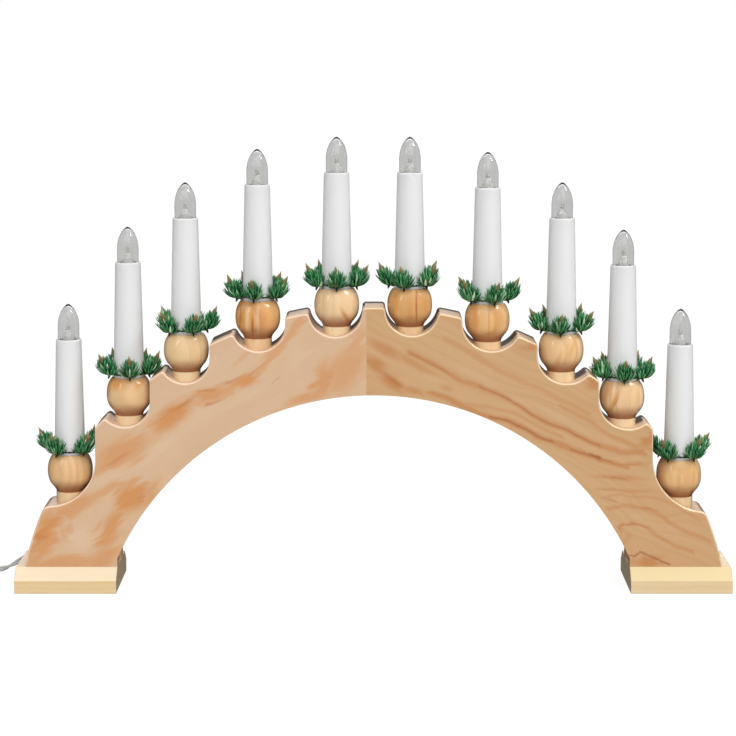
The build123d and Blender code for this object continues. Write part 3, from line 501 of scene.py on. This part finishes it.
def coil_turns():
    """The put-away turns: four round the bottom, three in their gaps, four on top; heights in mm."""
    turns = [(25.2, 2.5), (21.6, 2.6), (18.1, 2.5), (14.8, 2.6), (16.5, 5.6), (19.9, 5.7), (23.3, 5.6),
             (24.7, 8.7), (21.2, 8.8), (17.8, 8.7), (14.9, 8.8)]
    n = 14
    points = []
    start = 66.0
    for t, (r, z) in enumerate(turns):
        last = t == len(turns) - 1
        for k in range(n if not last else 11):
            f = k / n
            r2, z2 = turns[min(t + 1, len(turns) - 1)]
            s = max(0.0, (f - 0.78) / 0.22)
            s = s * s * (3 - 2 * s)
            rad = (r + (r2 - r) * s) * 1.012 + 0.25 * math.sin(2.1 * t + 5.0 * f)
            h = z + (z2 - z) * s
            a = math.radians(start + 360.0 * (t + f))
            points.append((COIL_C[0] + rad * math.cos(a) * MM, COIL_C[1] + rad * math.sin(a) * MM, h * MM))
    # over the outer turns, and out to the plug
    for r, z, a in ((15.6, 9.4, 2), (17.6, 11.0, 26), (20.4, 12.4, 50), (22.4, 12.9, 72), (23.2, 12.6, 92)):
        a = math.radians(a)
        points.append((COIL_C[0] + r * math.cos(a) * MM, COIL_C[1] + r * math.sin(a) * MM, z * MM))
    return points


CORD_POINTS = LEAD + coil_turns() + TAIL


def bare_line(points, fineness):
    curve = bpy.data.curves.new("route", "CURVE")
    curve.dimensions = "3D"
    spline = curve.splines.new("NURBS")
    spline.points.add(len(points) - 1)
    for p, q in zip(spline.points, points):
        p.co = (*q, 1.0)
    spline.order_u = 3
    spline.use_endpoint_u = True
    spline.resolution_u = fineness
    curve.resolution_u = fineness
    obj = link(bpy.data.objects.new("route", curve))
    bpy.context.view_layer.update()
    mesh = bpy.data.meshes.new_from_object(obj)
    line = [v.co.copy() for v in mesh.vertices]
    bpy.data.objects.remove(obj)
    bpy.data.curves.remove(curve)
    bpy.data.meshes.remove(mesh)
    return line


def frames_along(line):
    """A tangent and an up direction without twist at each point of the line, and the length up to it."""
    out, up, run = [], None, 0.0
    for i, p in enumerate(line):
        a, b = line[max(i - 1, 0)], line[min(i + 1, len(line) - 1)]
        t = (b - a).normalized()
        if up is None:
            up = Vector((0, 0, 1))
        up = (up - t * up.dot(t)).normalized()
        if i:
            run += (p - line[i - 1]).length
        out.append((p, t, up, run))
    return out


def tube(centres, radius, sides, verts, faces, twist=0.0):
    """A round closed tube along centres, (point, tangent, up)."""
    base = len(verts)
    for p, t, up in centres:
        side = t.cross(up).normalized()
        for k in range(sides):
            a = 2 * math.pi * k / sides + twist
            verts.append(p + (up * math.cos(a) + side * math.sin(a)) * radius)
    n = len(centres)
    for i in range(n - 1):
        for k in range(sides):
            a, b = base + i * sides + k, base + i * sides + (k + 1) % sides
            faces.append((a, b, b + sides, a + sides))
    faces.append(tuple(base + k for k in reversed(range(sides))))
    faces.append(tuple(base + (n - 1) * sides + k for k in range(sides)))


def new_mesh(name, verts, faces, mats, indices=None, smooth=True, attributes=None):
    mesh = bpy.data.meshes.new(name)
    mesh.from_pydata([tuple(v) for v in verts], [], faces)
    for x in mats:
        mesh.materials.append(x)
    if indices:
        mesh.polygons.foreach_set("material_index", indices)
    mesh.polygons.foreach_set("use_smooth", [smooth] * len(mesh.polygons))
    for key, values in (attributes or {}).items():
        a = mesh.attributes.new(key, "FLOAT", "POINT")
        a.data.foreach_set("value", values)
    mesh.validate()
    mesh.update()
    return link(bpy.data.objects.new(name, mesh))


line = bare_line(CORD_POINTS, 5)
steps = frames_along(line)
pair = []
theta, last_run = 0.35, 0.0
for p, t, up, run in steps:
    # the strands open a little before the lead leaves the view, and lie close elsewhere
    open_up = math.exp(-(((p.x + 0.2645) / 0.0042) ** 2)) if run < 0.12 else 0.0
    pitch = 0.026 + 0.030 * open_up + 0.004 * math.sin(run * 61.0)
    theta += 2 * math.pi * (run - last_run) / pitch
    last_run = run
    gap = 0.00088 + 0.00006 * math.sin(run * 173.0) + 0.00085 * open_up
    pair.append((p, t, up, theta, gap))
verts, faces, core_v, core_f = [], [], [], []
for s in (0.0, math.pi):
    centres = []
    for p, t, up, th, gap in pair:
        side = t.cross(up).normalized()
        centres.append((p + (up * math.cos(th + s) + side * math.sin(th + s)) * gap, t, up))
    tube(centres, 0.00090, 10, verts, faces)
    tube(centres, 0.00036, 6, core_v, core_f)


def clear_sleeve():
    m = Mat("clear_sleeve")
    p = m.place()
    n = m.noise(p, 0.35, 2.0)
    m.set(Base_Color=m.mix(n, srgb(206, 208, 207), srgb(222, 224, 223)), Roughness=0.14, IOR=1.5, Transmission_Weight=0.45,
          Coat_Weight=0.2, Coat_Roughness=0.06)
    return m.mat


cord = new_mesh("mains_lead", verts, faces, [clear_sleeve()])
core = new_mesh("mains_lead_wire", core_v, core_f, [metal("tinned_wire", srgb(150, 140, 126), 0.35, (1, 0, 0))])
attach(cord, "root")
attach(core, "root")
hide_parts("cord", "cord_coil")

# ------------------------------------------------------------------ lamps
def smooth_profile(points, steps_each=5):
    """A Catmull-Rom line through (radius, height) points."""
    out = []
    n = len(points)
    for i in range(n - 1):
        p0 = points[max(i - 1, 0)]
        p1, p2 = points[i], points[i + 1]
        p3 = points[min(i + 2, n - 1)]
        for k in range(steps_each):
            t = k / steps_each
            q = []
            for a, b, c, d in zip(p0, p1, p2, p3):
                q.append(0.5 * ((2 * b) + (-a + c) * t + (2 * a - 5 * b + 4 * c - d) * t * t + (-a + 3 * b - 3 * c + d) * t ** 3))
            out.append(tuple(q))
    out.append(points[-1])
    return out


def lathe(name, profile, mats, segments=48, indices=None, closed=False, thread=None):
    """Turns (radius, height) points, in mm, about Z. A radius of 0 makes a pole."""
    verts, faces, mi, rows = [], [], [], []
    for r, z in profile:
        if r < 1e-6:
            rows.append([len(verts)])
            verts.append((0.0, 0.0, z * MM))
        else:
            row = []
            for k in range(segments):
                a = 2 * math.pi * k / segments
                rr, zz = r, z
                if thread:
                    rr, zz = thread(r, z, a)
                row.append(len(verts))
                verts.append((rr * math.cos(a) * MM, rr * math.sin(a) * MM, zz * MM))
            rows.append(row)
    pairs = list(zip(rows, rows[1:]))
    if closed:
        pairs.append((rows[-1], rows[0]))
    for j, (a, b) in enumerate(pairs):
        for k in range(segments):
            k2 = (k + 1) % segments
            if len(a) == 1 and len(b) == 1:
                continue
            if len(a) == 1:
                faces.append((a[0], b[k2], b[k]))
            elif len(b) == 1:
                faces.append((a[k], a[k2], b[0]))
            else:
                faces.append((a[k], a[k2], b[k2], b[k]))
            mi.append(indices[j] if indices else 0)
    mesh = bpy.data.meshes.new(name)
    mesh.from_pydata(verts, [], faces)
    for x in mats:
        mesh.materials.append(x)
    mesh.polygons.foreach_set("material_index", mi)
    mesh.polygons.foreach_set("use_smooth", [True] * len(mesh.polygons))
    mesh.validate()
    mesh.update()
    return mesh


def clear_plastic():
    m = Mat("lamp_clear")
    p = m.place()
    n = m.noise(p, 0.25, 2.0, 0.5)
    m.set(Base_Color=m.mix(n, srgb(246, 246, 245), srgb(250, 250, 249)), Roughness=0.03, IOR=1.47, Transmission_Weight=1.0)
    wave = m.noise(p, 0.22, 1.0, 0.4)
    m.bump(wave, 0.12, 0.0006)
    return m.mat


lamp_clear = clear_plastic()
lamp_white = plastic("lamp_white", srgb(246, 246, 244), 0.4, grain=0.02, bump=0.03)
lamp_dome = Mat("lamp_diode")
nz = lamp_dome.noise(lamp_dome.place(), 0.8, 2.0)
lamp_dome.set(Base_Color=lamp_dome.mix(nz, srgb(232, 231, 222), srgb(240, 240, 236)), Roughness=0.12, IOR=1.45, Transmission_Weight=0.35)
lamp_dome = lamp_dome.mat
lamp_brass = metal("lamp_cap", srgb(196, 186, 160), 0.25)

# heights from the candle's top edge
tip = -CANDLE_TOP
outer = smooth_profile([(7.5, -2.6), (7.5, 3.0), (7.5, 9.3), (7.43, 10.9), (7.27, 12.3), (7.04, 13.8), (6.72, 15.2), (6.3, 16.6),
                        (5.77, 18.0), (5.12, 19.43), (4.27, 20.84), (3.3, 22.26), (2.0, 23.6), (1.15, 24.38)], 3) + [(0.6, 24.68), (0.0, tip)]
inner = [(0.0, tip - 1.9)] + smooth_profile([(1.0, tip - 2.3), (2.7, tip - 4.1), (4.0, tip - 6.5), (5.0, tip - 9.2),
                                             (5.75, tip - 12.0), (6.15, tip - 15.0), (6.2, 4.0), (6.2, -2.6)], 4)
shell_mesh = lathe("lamp_shell", outer + inner, [lamp_clear], 56, closed=True)
base_profile = [(0.0, -2.9), (6.1, -2.9), (6.1, -1.5), (5.9, -1.3), (4.1, -1.3), (3.95, -1.0), (3.75, 1.2), (3.45, 3.5), (3.25, 3.7),
                (2.55, 3.7), (2.45, 3.85), (2.35, 6.2), (2.2, 6.4), (0.0, 6.4)]
base_mesh = lathe("lamp_base", base_profile, [lamp_white], 40)
dome_mesh = lathe("lamp_diode", [(0.0, 6.35), (1.6, 6.35), (1.6, 6.9), (1.32, 7.0)] + smooth_profile([(1.32, 7.0), (1.32, 9.2), (1.1, 10.1), (0.62, 10.7)], 3)
                  + [(0.0, 10.85)], [lamp_dome], 28)


def thread(r, z, a):
    if r < 4.2 or z > -3.6 or z < -13.6:
        return r, z
    return r - 0.22 + 0.24 * math.cos(2 * math.pi * (z + 3.0) / 1.8 - a), z


cap_profile = [(0.0, -15.6), (1.1, -15.55), (1.7, -15.1), (2.1, -14.2), (4.2, -14.1), (4.75, -13.7)]
cap_profile += [(4.8, -13.6 + 0.225 * k) for k in range(1, 45)] + [(4.8, -3.0), (0.0, -3.0)]
cap_mesh = lathe("lamp_cap", cap_profile, [lamp_brass], 32, thread=thread)

for k, (x, t) in enumerate(zip(CANDLE_X, TIP_Z), start=1):
    body = f"bulb_{k:02d}"
    for part, mesh in (("shell", shell_mesh), ("base", base_mesh), ("diode", dome_mesh), ("cap", cap_mesh)):
        o = link(bpy.data.objects.new(f"lamp_{part}_{k:02d}", mesh))
        o.location = (x * MM, ARCH_Y * MM, (t + CANDLE_TOP) * MM)
        o.rotation_euler = (0.0, 0.0, math.radians(47.0 * k))
        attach(o, body)
        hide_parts(body)

# ------------------------------------------------------------------ wreaths
def needle_green():
    m = Mat("needle_green")
    tint = m.attribute("tint")
    far = m.attribute("far")
    # random tone per needle; the palest stops, on a few needles, are a painted highlight
    col = m.ramp(tint, [(0.0, srgb(16, 84, 46)), (0.4, srgb(30, 116, 64)), (0.7, srgb(56, 148, 86)), (0.85, srgb(104, 180, 120)), (1.0, srgb(206, 228, 190))])
    # painted shade: the needles darken towards their roots, inside the tuft
    col = m.mix(m.math("MULTIPLY", m.span(far, 0.0, 0.55, 1.0, 0.0), 0.55), col, srgb(12, 42, 26))
    # painted highlight: the needles pale towards their tips
    col = m.mix(m.math("MULTIPLY", m.span(far, 0.6, 1.0), 0.35), col, srgb(128, 176, 128))
    m.set(Base_Color=col, Roughness=0.24, Specular_IOR_Level=0.75)
    fine = m.noise(m.place(), 1.4, 2.0)
    m.bump(fine, 0.1, 0.0002)
    return m.mat


def bud_brown():
    m = Mat("bud_brown")
    far = m.attribute("far")
    tint = m.attribute("tint")
    n = m.noise(m.place(), 1.1, 3.0, 0.6)
    col = m.ramp(far, [(0.0, srgb(52, 56, 30)), (0.3, srgb(92, 80, 46)), (0.6, srgb(128, 102, 62)), (0.85, srgb(170, 146, 92)), (1.0, srgb(222, 206, 150))])
    col = m.mix(m.math("MULTIPLY", tint, 0.35), col, srgb(74, 88, 42))
    col = m.mix(m.math("MULTIPLY", n, 0.4), col, srgb(60, 44, 24))
    m.set(Base_Color=col, Roughness=0.4)
    m.bump(n, 0.3, 0.0003)
    return m.mat


needle_mat, bud_mat = needle_green(), bud_brown()
stem_mat = plastic("stem_dark_green", srgb(24, 52, 32), 0.35, grain=0.3, grain_scale=1.6, bump=0.2)


class Shape:
    def __init__(self):
        self.v, self.f, self.m, self.tint, self.far, self.soft = [], [], [], [], [], []

    def add(self, verts, faces, mat, tint, far, soft):
        base = len(self.v)
        self.v.extend(verts)
        self.f.extend(tuple(base + i for i in f) for f in faces)
        self.m.extend([mat] * len(faces))
        self.tint.extend([tint] * len(verts) if isinstance(tint, float) else tint)
        self.far.extend(far)
        self.soft.extend([soft] * len(verts))


def stem_point(s):
    """The sprig's middle line: s is the height above the ring in mm. Returns the point and its direction."""
    pts = [(2.6, -5.0), (1.75, -3.0), (1.45, -1.2), (1.5, 0.6), (2.1, 2.8), (3.4, 5.0), (5.2, 7.2), (7.4, 9.6), (10.2, 12.7)]
    for (x0, z0), (x1, z1) in zip(pts, pts[1:]):
        if s <= z1 or (x1, z1) == pts[-1]:
            f = (s - z0) / (z1 - z0)
            d = Vector((x1 - x0, 0.0, z1 - z0)).normalized()
            return Vector((x0 + (x1 - x0) * f, 0.0, s)), d
    return None


def needle(shape, root, direction, towards, length, width, rng, tint):
    """One flat pointed needle that bends from direction to towards."""
    n = 5
    side = direction.cross(towards)
    if side.length < 1e-4:
        side = direction.orthogonal()
    side.normalize()
    side = Quaternion(direction, rng.uniform(-0.9, 0.9)) @ side
    p = root.copy()
    verts, far = [], []
    d = direction
    for i in range(n):
        t = i / n
        d = direction.lerp(towards, t ** 0.75).normalized()
        flat = side - d * side.dot(d)
        flat.normalize()
        normal = d.cross(flat)
        w = width * min(1.0, 0.5 + 1.6 * t) * (1.0 if t < 0.6 else 1.0 - 0.55 * (t - 0.6) / 0.4)
        h = w * 0.24
        for a, b in ((0.5, 0), (0, 0.5), (-0.5, 0), (0, -0.5)):
            verts.append(p + flat * (w * a) + normal * (h * b))
            far.append(t)
        p = p + d * (length / n)
    verts.append(p)
    far.append(1.0)
    faces = [(3, 2, 1, 0)]
    for i in range(n - 1):
        for k in range(4):
            a, b = i * 4 + k, i * 4 + (k + 1) % 4
            faces.append((a, b, b + 4, a + 4))
    tip_i = n * 4
    for k in range(4):
        a, b = (n - 1) * 4 + k, (n - 1) * 4 + (k + 1) % 4
        faces.append((a, b, tip_i))
    shape.add(verts, faces, 0, tint, far, True)


def round_piece(shape, profile, mat, tint, bumps=0.0, sides=10, soft=False):
    """A turned piece along a line: profile has (point, direction, radius); the last radius is 0."""
    verts, far, faces = [], [], []
    n = len(profile)
    for i, (p, d, r) in enumerate(profile):
        if r <= 0.0:
            verts.append(p)
            far.append(1.0)
            continue
        a0 = d.orthogonal().normalized()
        ref = Vector((0, 1, 0))
        a0 = (ref - d * ref.dot(d)).normalized()
        b0 = d.cross(a0)
        for k in range(sides):
            a = 2 * math.pi * k / sides
            rr = r * (1.0 + bumps * max(0.0, math.cos(3 * a + i * math.pi)) - bumps * 0.3)
            verts.append(p + (a0 * math.cos(a) + b0 * math.sin(a)) * rr)
            far.append(i / (n - 1))
    faces.append(tuple(reversed(range(sides))))
    for i in range(n - 1):
        if profile[i + 1][2] <= 0.0:
            for k in range(sides):
                faces.append((i * sides + k, i * sides + (k + 1) % sides, (i + 1) * sides))
        else:
            for k in range(sides):
                a, b = i * sides + k, i * sides + (k + 1) % sides
                faces.append((a, b, b + sides, a + sides))
    shape.add(verts, faces, mat, tint, far, soft)


def sprig(rng, lean=1.0):
    """One sprig in its own frame: +X out from the candle, +Z up, the ring's wire through the origin. Millimetres."""
    s = Shape()
    # stem, from the pointed stub under the ring up into the tuft
    prof = []
    for z, r in ((6.4, 0.55), (4.5, 0.75), (2.5, 0.95), (0.8, 1.25), (-0.6, 1.3), (-1.9, 1.05), (-3.2, 0.8), (-4.2, 0.5)):
        p, d = stem_point(z)
        prof.append((p, -d, r))
    p, d = stem_point(-4.9)
    prof.append((p, -d, 0.0))
    round_piece(s, prof, 2, 0.2, 0.0, 8)
    # needles in whorls
    whorls = [(-1.4, 20, 98, 20, 11.0), (-0.6, 20, 84, 12, 11.8), (0.4, 18, 66, 8, 11.8), (1.6, 14, 48, 5, 11.0), (2.8, 10, 30, 3, 10.0)]
    for z, count, b0, b1, length in whorls:
        root, axis = stem_point(z)
        sx = (Vector((0, 1, 0)) - axis * axis.y).normalized()
        sy = axis.cross(sx)
        turn = rng.uniform(0, 2 * math.pi)
        for k in range(count):
            psi = turn + 2 * math.pi * (k + rng.uniform(-0.28, 0.28)) / count
            out = sx * math.cos(psi) + sy * math.sin(psi)
            a0 = math.radians(b0 + rng.uniform(-6, 6))
            a1 = math.radians(b1 + rng.uniform(-9, 9))
            d0 = axis * math.cos(a0) + out * math.sin(a0)
            d1 = axis * math.cos(a1) + out * math.sin(a1)
            L = length * rng.uniform(0.9, 1.05)
            if out.x < -0.3:
                L *= 0.92
            zz = root + axis * rng.uniform(-0.5, 0.5)
            needle(s, zz + out * 0.35, d0, d1, L, rng.uniform(1.5, 2.0), rng, min(1.0, max(0.0, rng.gauss(0.5, 0.27))))
    # bud
    prof = []
    p0, d0 = stem_point(1.6)
    axis = (Vector((8.6, 0, 14.2)) - p0).normalized()
    axis = (axis + Vector((rng.uniform(-0.12, 0.12), rng.uniform(-0.14, 0.14), rng.uniform(-0.08, 0.08)))).normalized()
    L = rng.uniform(13.4, 14.8)
    for i, r in enumerate((0.9, 1.7, 2.15, 2.3, 2.25, 2.05, 1.75, 1.35, 0.9, 0.45, 0.0)):
        t = i / 10
        prof.append((p0 + axis * (L * t) + Vector((0, 0, 0.5 * t * t)), axis, r))
    round_piece(s, prof, 1, rng.uniform(0.0, 1.0), 0.16, 12)
    if lean != 1.0:
        for i, v in enumerate(s.v):
            # a sprig with the arch beside it stands more upright
            x = v.x - 1.5
            if x > 0:
                s.v[i] = Vector((1.5 + x * lean, v.y, v.z + x * (1.0 - lean) * 0.25))
    return s


def bvh_of(*names):
    verts, polys = [], []
    for n in names:
        mesh = nodes[n].data
        base = len(verts)
        verts.extend(v.co.copy() for v in mesh.vertices)
        polys.extend([base + i for i in p.vertices] for p in mesh.polygons)
    return BVHTree.FromPolygons(verts, polys)


arch_tree = bvh_of("arch_left", "arch_right")


def keep_out(p, tree, gap):
    """Moves a point that lies in a solid, or nearer than gap to it, out to gap."""
    hit, normal, _, dist = tree.find_nearest(p, 0.012)
    if hit is None:
        return p
    inside = (p - hit).dot(normal) < 0.0
    if inside:
        return hit + normal * gap
    if dist < gap:
        return hit + (p - hit).normalized() * gap
    return p


for k, (x, t) in enumerate(zip(CANDLE_X, TIP_Z), start=1):
    rng = random.Random(4100 + 17 * k)
    eq = t + BALL_FROM_TIP
    zc = eq + RING_H
    whole = Shape()
    # the wire ring: two thin wires twisted together
    n = 72
    ring_pts = []
    for i in range(n):
        a = 2 * math.pi * i / n
        ring_pts.append((Vector(((RING_R + 0.12 * math.sin(3 * a + k)) * math.cos(a), (RING_R + 0.12 * math.sin(3 * a + k)) * math.sin(a),
                                 0.12 * math.sin(2 * a + 1.3 * k))), a))
    for ph in (0.0, math.pi):
        verts, faces, far = [], [], []
        for i, (p, a) in enumerate(ring_pts):
            tangent = Vector((-math.sin(a), math.cos(a), 0))
            out = Vector((math.cos(a), math.sin(a), 0))
            up = Vector((0, 0, 1))
            th = a * 14 + ph
            c = p + (out * math.cos(th) + up * math.sin(th)) * 0.34
            for j in range(6):
                b = 2 * math.pi * j / 6
                verts.append(c + (out * math.cos(b) + up * math.sin(b)) * 0.42)
                far.append(0.3)
        for i in range(n):
            for j in range(6):
                a0, b0 = i * 6 + j, i * 6 + (j + 1) % 6
                a1, b1 = ((i + 1) % n) * 6 + j, ((i + 1) % n) * 6 + (j + 1) % 6
                faces.append((a0, a1, b1, b0))
        whole.add(verts, faces, 2, 0.2, far, False)
    for j in range(5):
        phi = math.radians(WREATH_TURN[k - 1] + 72.0 * j + rng.uniform(-3, 3) - (7.0 if (k, j) == (1, 4) else 0.0))
        near = 1.0
        if k == 1 and 60 < (WREATH_TURN[0] + 72.0 * j) % 360 < 130:
            near = 0.55
        if k == 10 and 230 < (WREATH_TURN[9] + 72.0 * j) % 360 < 300:
            near = 0.6
        s = sprig(rng, near)
        spin = Matrix.Rotation(phi - math.pi / 2, 3, "Z")
        lift = rng.uniform(-0.3, 0.5)
        # the tufts lean out over the ring
        verts = [spin @ (Vector((v.x * 1.02 + 0.26 * min(max(v.z + 1.0, 0.0), 6.0), v.y * 0.92, v.z)) + Vector((RING_R, 0.0, lift + 0.7)))
                 for v in s.v]
        whole.add(verts, s.f, 0, 0.0, s.far, True)
        whole.m[-len(s.f):] = s.m
        whole.tint[-len(s.v):] = s.tint
        whole.soft[-len(s.v):] = s.soft
    # needles stay out of the candle, the ball and the arch
    ball_tree = bvh_of(f"holder_{k:02d}")
    world = []
    for v, soft in zip(whole.v, whole.soft):
        r = math.hypot(v.x, v.y)
        cone = 10.8 - 1.9 * (v.z + 0.8) / 81.3 + 0.35
        if v.z > -0.8 and r < cone:
            f = cone / max(r, 1e-6)
            v = Vector((v.x * f, v.y * f, v.z))
        p = Vector(((v.x + x) * MM, (v.y + ARCH_Y) * MM, (v.z + zc) * MM))
        if soft:
            p = keep_out(p, ball_tree, 0.00015)
            p = keep_out(p, arch_tree, 0.0003)
        world.append(p)
    o = new_mesh(f"wreath_green_{k:02d}", world, whole.f, [needle_mat, bud_mat, stem_mat], whole.m,
                 attributes={"tint": whole.tint, "far": whole.far})
    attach(o, f"wreath_{k:02d}")
    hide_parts(f"wreath_{k:02d}")

# ------------------------------------------------------------------ floor, surroundings and light
def stage_material(name, colour, strength=None):
    m = bpy.data.materials.new(name)
    m.use_nodes = True
    nt = m.node_tree
    if strength is None:
        b = nt.nodes["Principled BSDF"]
        b.inputs["Base Color"].default_value = colour
        b.inputs["Roughness"].default_value = 0.9
        b.inputs["Specular IOR Level"].default_value = 0.0
    else:
        nt.nodes.clear()
        e = nt.nodes.new("ShaderNodeEmission")
        e.inputs[0].default_value = colour
        e.inputs[1].default_value = strength
        out = nt.nodes.new("ShaderNodeOutputMaterial")
        nt.links.new(e.outputs[0], out.inputs[0])
    return m


def stage_mesh(name, verts, faces, mat):
    mesh = bpy.data.meshes.new(name)
    mesh.from_pydata(verts, [], faces)
    mesh.materials.append(mat)
    o = link(bpy.data.objects.new(name, mesh))
    return o


S = 90.0
floor_mat = stage_material("floor_pale", (0.10, 0.10, 0.10, 1))
floor_mat.node_tree.nodes["Principled BSDF"].inputs["Emission Color"].default_value = (1.0, 1.0, 1.0, 1.0)
floor_mat.node_tree.nodes["Principled BSDF"].inputs["Emission Strength"].default_value = 0.92
floor = stage_mesh("floor", [(-S, -S, -0.0002), (S, -S, -0.0002), (S, S, -0.0002), (-S, S, -0.0002)], [(0, 1, 2, 3)], floor_mat)
floor.visible_glossy = floor.visible_diffuse = floor.visible_shadow = False

# what the lacquer and the clear plastic reflect: a dim room round the softboxes
def ring_wall(name, radius, z0, z1, colour, strength, n=64):
    verts, faces = [], []
    for k in range(n):
        a = 2 * math.pi * k / n
        verts += [(radius * math.cos(a), radius * math.sin(a), z0), (radius * math.cos(a), radius * math.sin(a), z1)]
    for k in range(n):
        a, b = 2 * k, 2 * ((k + 1) % n)
        faces.append((a, b, b + 1, a + 1))
    return stage_mesh(name, verts, faces, stage_material(name, colour, strength))


def direction_nodes(nt, socket):
    """The parts of a direction, and how much of it points to the side."""
    nrm = nt.nodes.new("ShaderNodeVectorMath")
    nrm.operation = "NORMALIZE"
    nt.links.new(socket, nrm.inputs[0])
    sep = nt.nodes.new("ShaderNodeSeparateXYZ")
    nt.links.new(nrm.outputs[0], sep.inputs[0])
    side = nt.nodes.new("ShaderNodeMath")
    side.operation = "ABSOLUTE"
    nt.links.new(sep.outputs[0], side.inputs[0])
    return side.outputs[0], sep.outputs[0], sep.outputs[1], sep.outputs[2]


def steps_of(nt, socket, a, b, lo, hi):
    n = nt.nodes.new("ShaderNodeMapRange")
    n.interpolation_type = "SMOOTHSTEP"
    nt.links.new(socket, n.inputs[0])
    for i, v in zip((1, 2, 3, 4), (a, b, lo, hi)):
        n.inputs[i].default_value = v
    return n.outputs[0]


def combine(nt, op, a, b):
    n = nt.nodes.new("ShaderNodeMath")
    n.operation = op
    for i, v in enumerate((a, b)):
        if isinstance(v, bpy.types.NodeSocket):
            nt.links.new(v, n.inputs[i])
        else:
            n.inputs[i].default_value = v
    return n.outputs[0]


def dim_room():
    """A dark studio with a pale ceiling and one white panel behind the object."""
    m = bpy.data.materials.new("dim_room")
    m.use_nodes = True
    nt = m.node_tree
    nt.nodes.clear()
    tc = nt.nodes.new("ShaderNodeTexCoord")
    side, x, y, z = direction_nodes(nt, tc.outputs["Object"])
    panel = combine(nt, "MULTIPLY", steps_of(nt, side, 0.20, 0.34, PANEL, 0.0), steps_of(nt, y, 0.2, 0.5, 0.0, 1.0))
    panel = combine(nt, "MULTIPLY", panel, steps_of(nt, z, 0.06, 0.16, 0.0, 1.0))
    panel = combine(nt, "MULTIPLY", panel, steps_of(nt, z, 0.55, 0.75, 1.0, 0.25))
    ceiling = combine(nt, "MULTIPLY", steps_of(nt, z, 0.3, 0.95, 0.0, 0.85), steps_of(nt, side, 0.25, 0.75, 1.0, 0.1))
    low = combine(nt, "MULTIPLY", steps_of(nt, y, -0.9, 0.1, 0.16, 0.06), steps_of(nt, side, 0.3, 0.8, 1.0, 0.3))
    total = combine(nt, "ADD", combine(nt, "ADD", panel, ceiling), low)
    e = nt.nodes.new("ShaderNodeEmission")
    nt.links.new(total, e.inputs[1])
    out = nt.nodes.new("ShaderNodeOutputMaterial")
    nt.links.new(e.outputs[0], out.inputs[0])
    m.cycles.emission_sampling = "NONE"
    return m


def sphere(name, radius, mat, rings=24, segs=48):
    verts, faces = [(0, 0, radius)], []
    for i in range(1, rings):
        a = math.pi * i / rings
        for k in range(segs):
            b = 2 * math.pi * k / segs
            verts.append((radius * math.sin(a) * math.cos(b), radius * math.sin(a) * math.sin(b), radius * math.cos(a)))
    verts.append((0, 0, -radius))
    for k in range(segs):
        faces.append((0, 1 + k, 1 + (k + 1) % segs))
        base = 1 + (rings - 2) * segs
        faces.append((len(verts) - 1, base + (k + 1) % segs, base + k))
    for i in range(rings - 2):
        for k in range(segs):
            a, b = 1 + i * segs + k, 1 + i * segs + (k + 1) % segs
            faces.append((a, a + segs, b + segs, b))
    return stage_mesh(name, verts, faces, mat)


PANEL = 0.85
room = sphere("room", 12.0, dim_room())
room.visible_camera = room.visible_diffuse = room.visible_transmission = room.visible_shadow = False
grey = ring_wall("grey_wall", 0.85, 0.0, 0.62, (1, 1, 1, 1), 0.60)
grey.visible_camera = grey.visible_diffuse = grey.visible_glossy = grey.visible_shadow = False
grey.data.materials[0].cycles.emission_sampling = "NONE"
backdrop = sphere("backdrop", 60.0, stage_material("backdrop_white", (1.0, 1.0, 1.0, 1.0), 1.0))
backdrop.visible_diffuse = backdrop.visible_glossy = backdrop.visible_transmission = backdrop.visible_shadow = False
backdrop.data.materials[0].cycles.emission_sampling = "NONE"

# soft light all round, least from the two sides
world = bpy.data.worlds.new("studio")
scene.world = world
world.use_nodes = True
wt = world.node_tree
side, x, y, z = direction_nodes(wt, wt.nodes.new("ShaderNodeTexCoord").outputs["Generated"])
level = combine(wt, "MULTIPLY", steps_of(wt, x, 0.30, 0.95, 1.0, 0.34), steps_of(wt, x, -0.92, -0.28, 0.25, 1.0))
level = combine(wt, "MULTIPLY", level, steps_of(wt, z, -1.0, 1.0, 0.66, 1.10))
level = combine(wt, "MULTIPLY", level, 1.08)
wt.nodes["Background"].inputs[0].default_value = (1.0, 1.0, 1.0, 1.0)
wt.links.new(level, wt.nodes["Background"].inputs[1])


def aim(obj, target):
    d = Vector(target) - obj.location
    obj.rotation_euler = d.to_track_quat("-Z", "Y").to_euler()


def area(name, location, target, width, height, radiance, diffuse=1.0, specular=1.0):
    data = bpy.data.lights.new(name, "AREA")
    data.shape = "RECTANGLE"
    data.size, data.size_y = width, height
    data.energy = radiance * math.pi * width * height
    data.diffuse_factor = diffuse
    data.specular_factor = specular
    o = link(bpy.data.objects.new(name, data))
    o.location = location
    aim(o, target)
    return o


sun_data = bpy.data.lights.new("soft_top", "SUN")
sun_data.energy = 1.0
sun_data.angle = math.radians(55)
sun_data.specular_factor = 0.0
sun = link(bpy.data.objects.new("soft_top", sun_data))
sun.location = (0.3, -1.4, 1.2)
aim(sun, (0.0, 0.0, 0.1))

area("softbox_right", (1.30, -0.35, 1.50), (0.0, 0.0, 0.2), 0.50, 0.50, 11.0, 0.5, 1.0)
area("softbox_left", (-1.3, -1.1, 1.0), (0.0, 0.0, 0.2), 0.25, 0.8, 3.0, 0.4, 1.0)
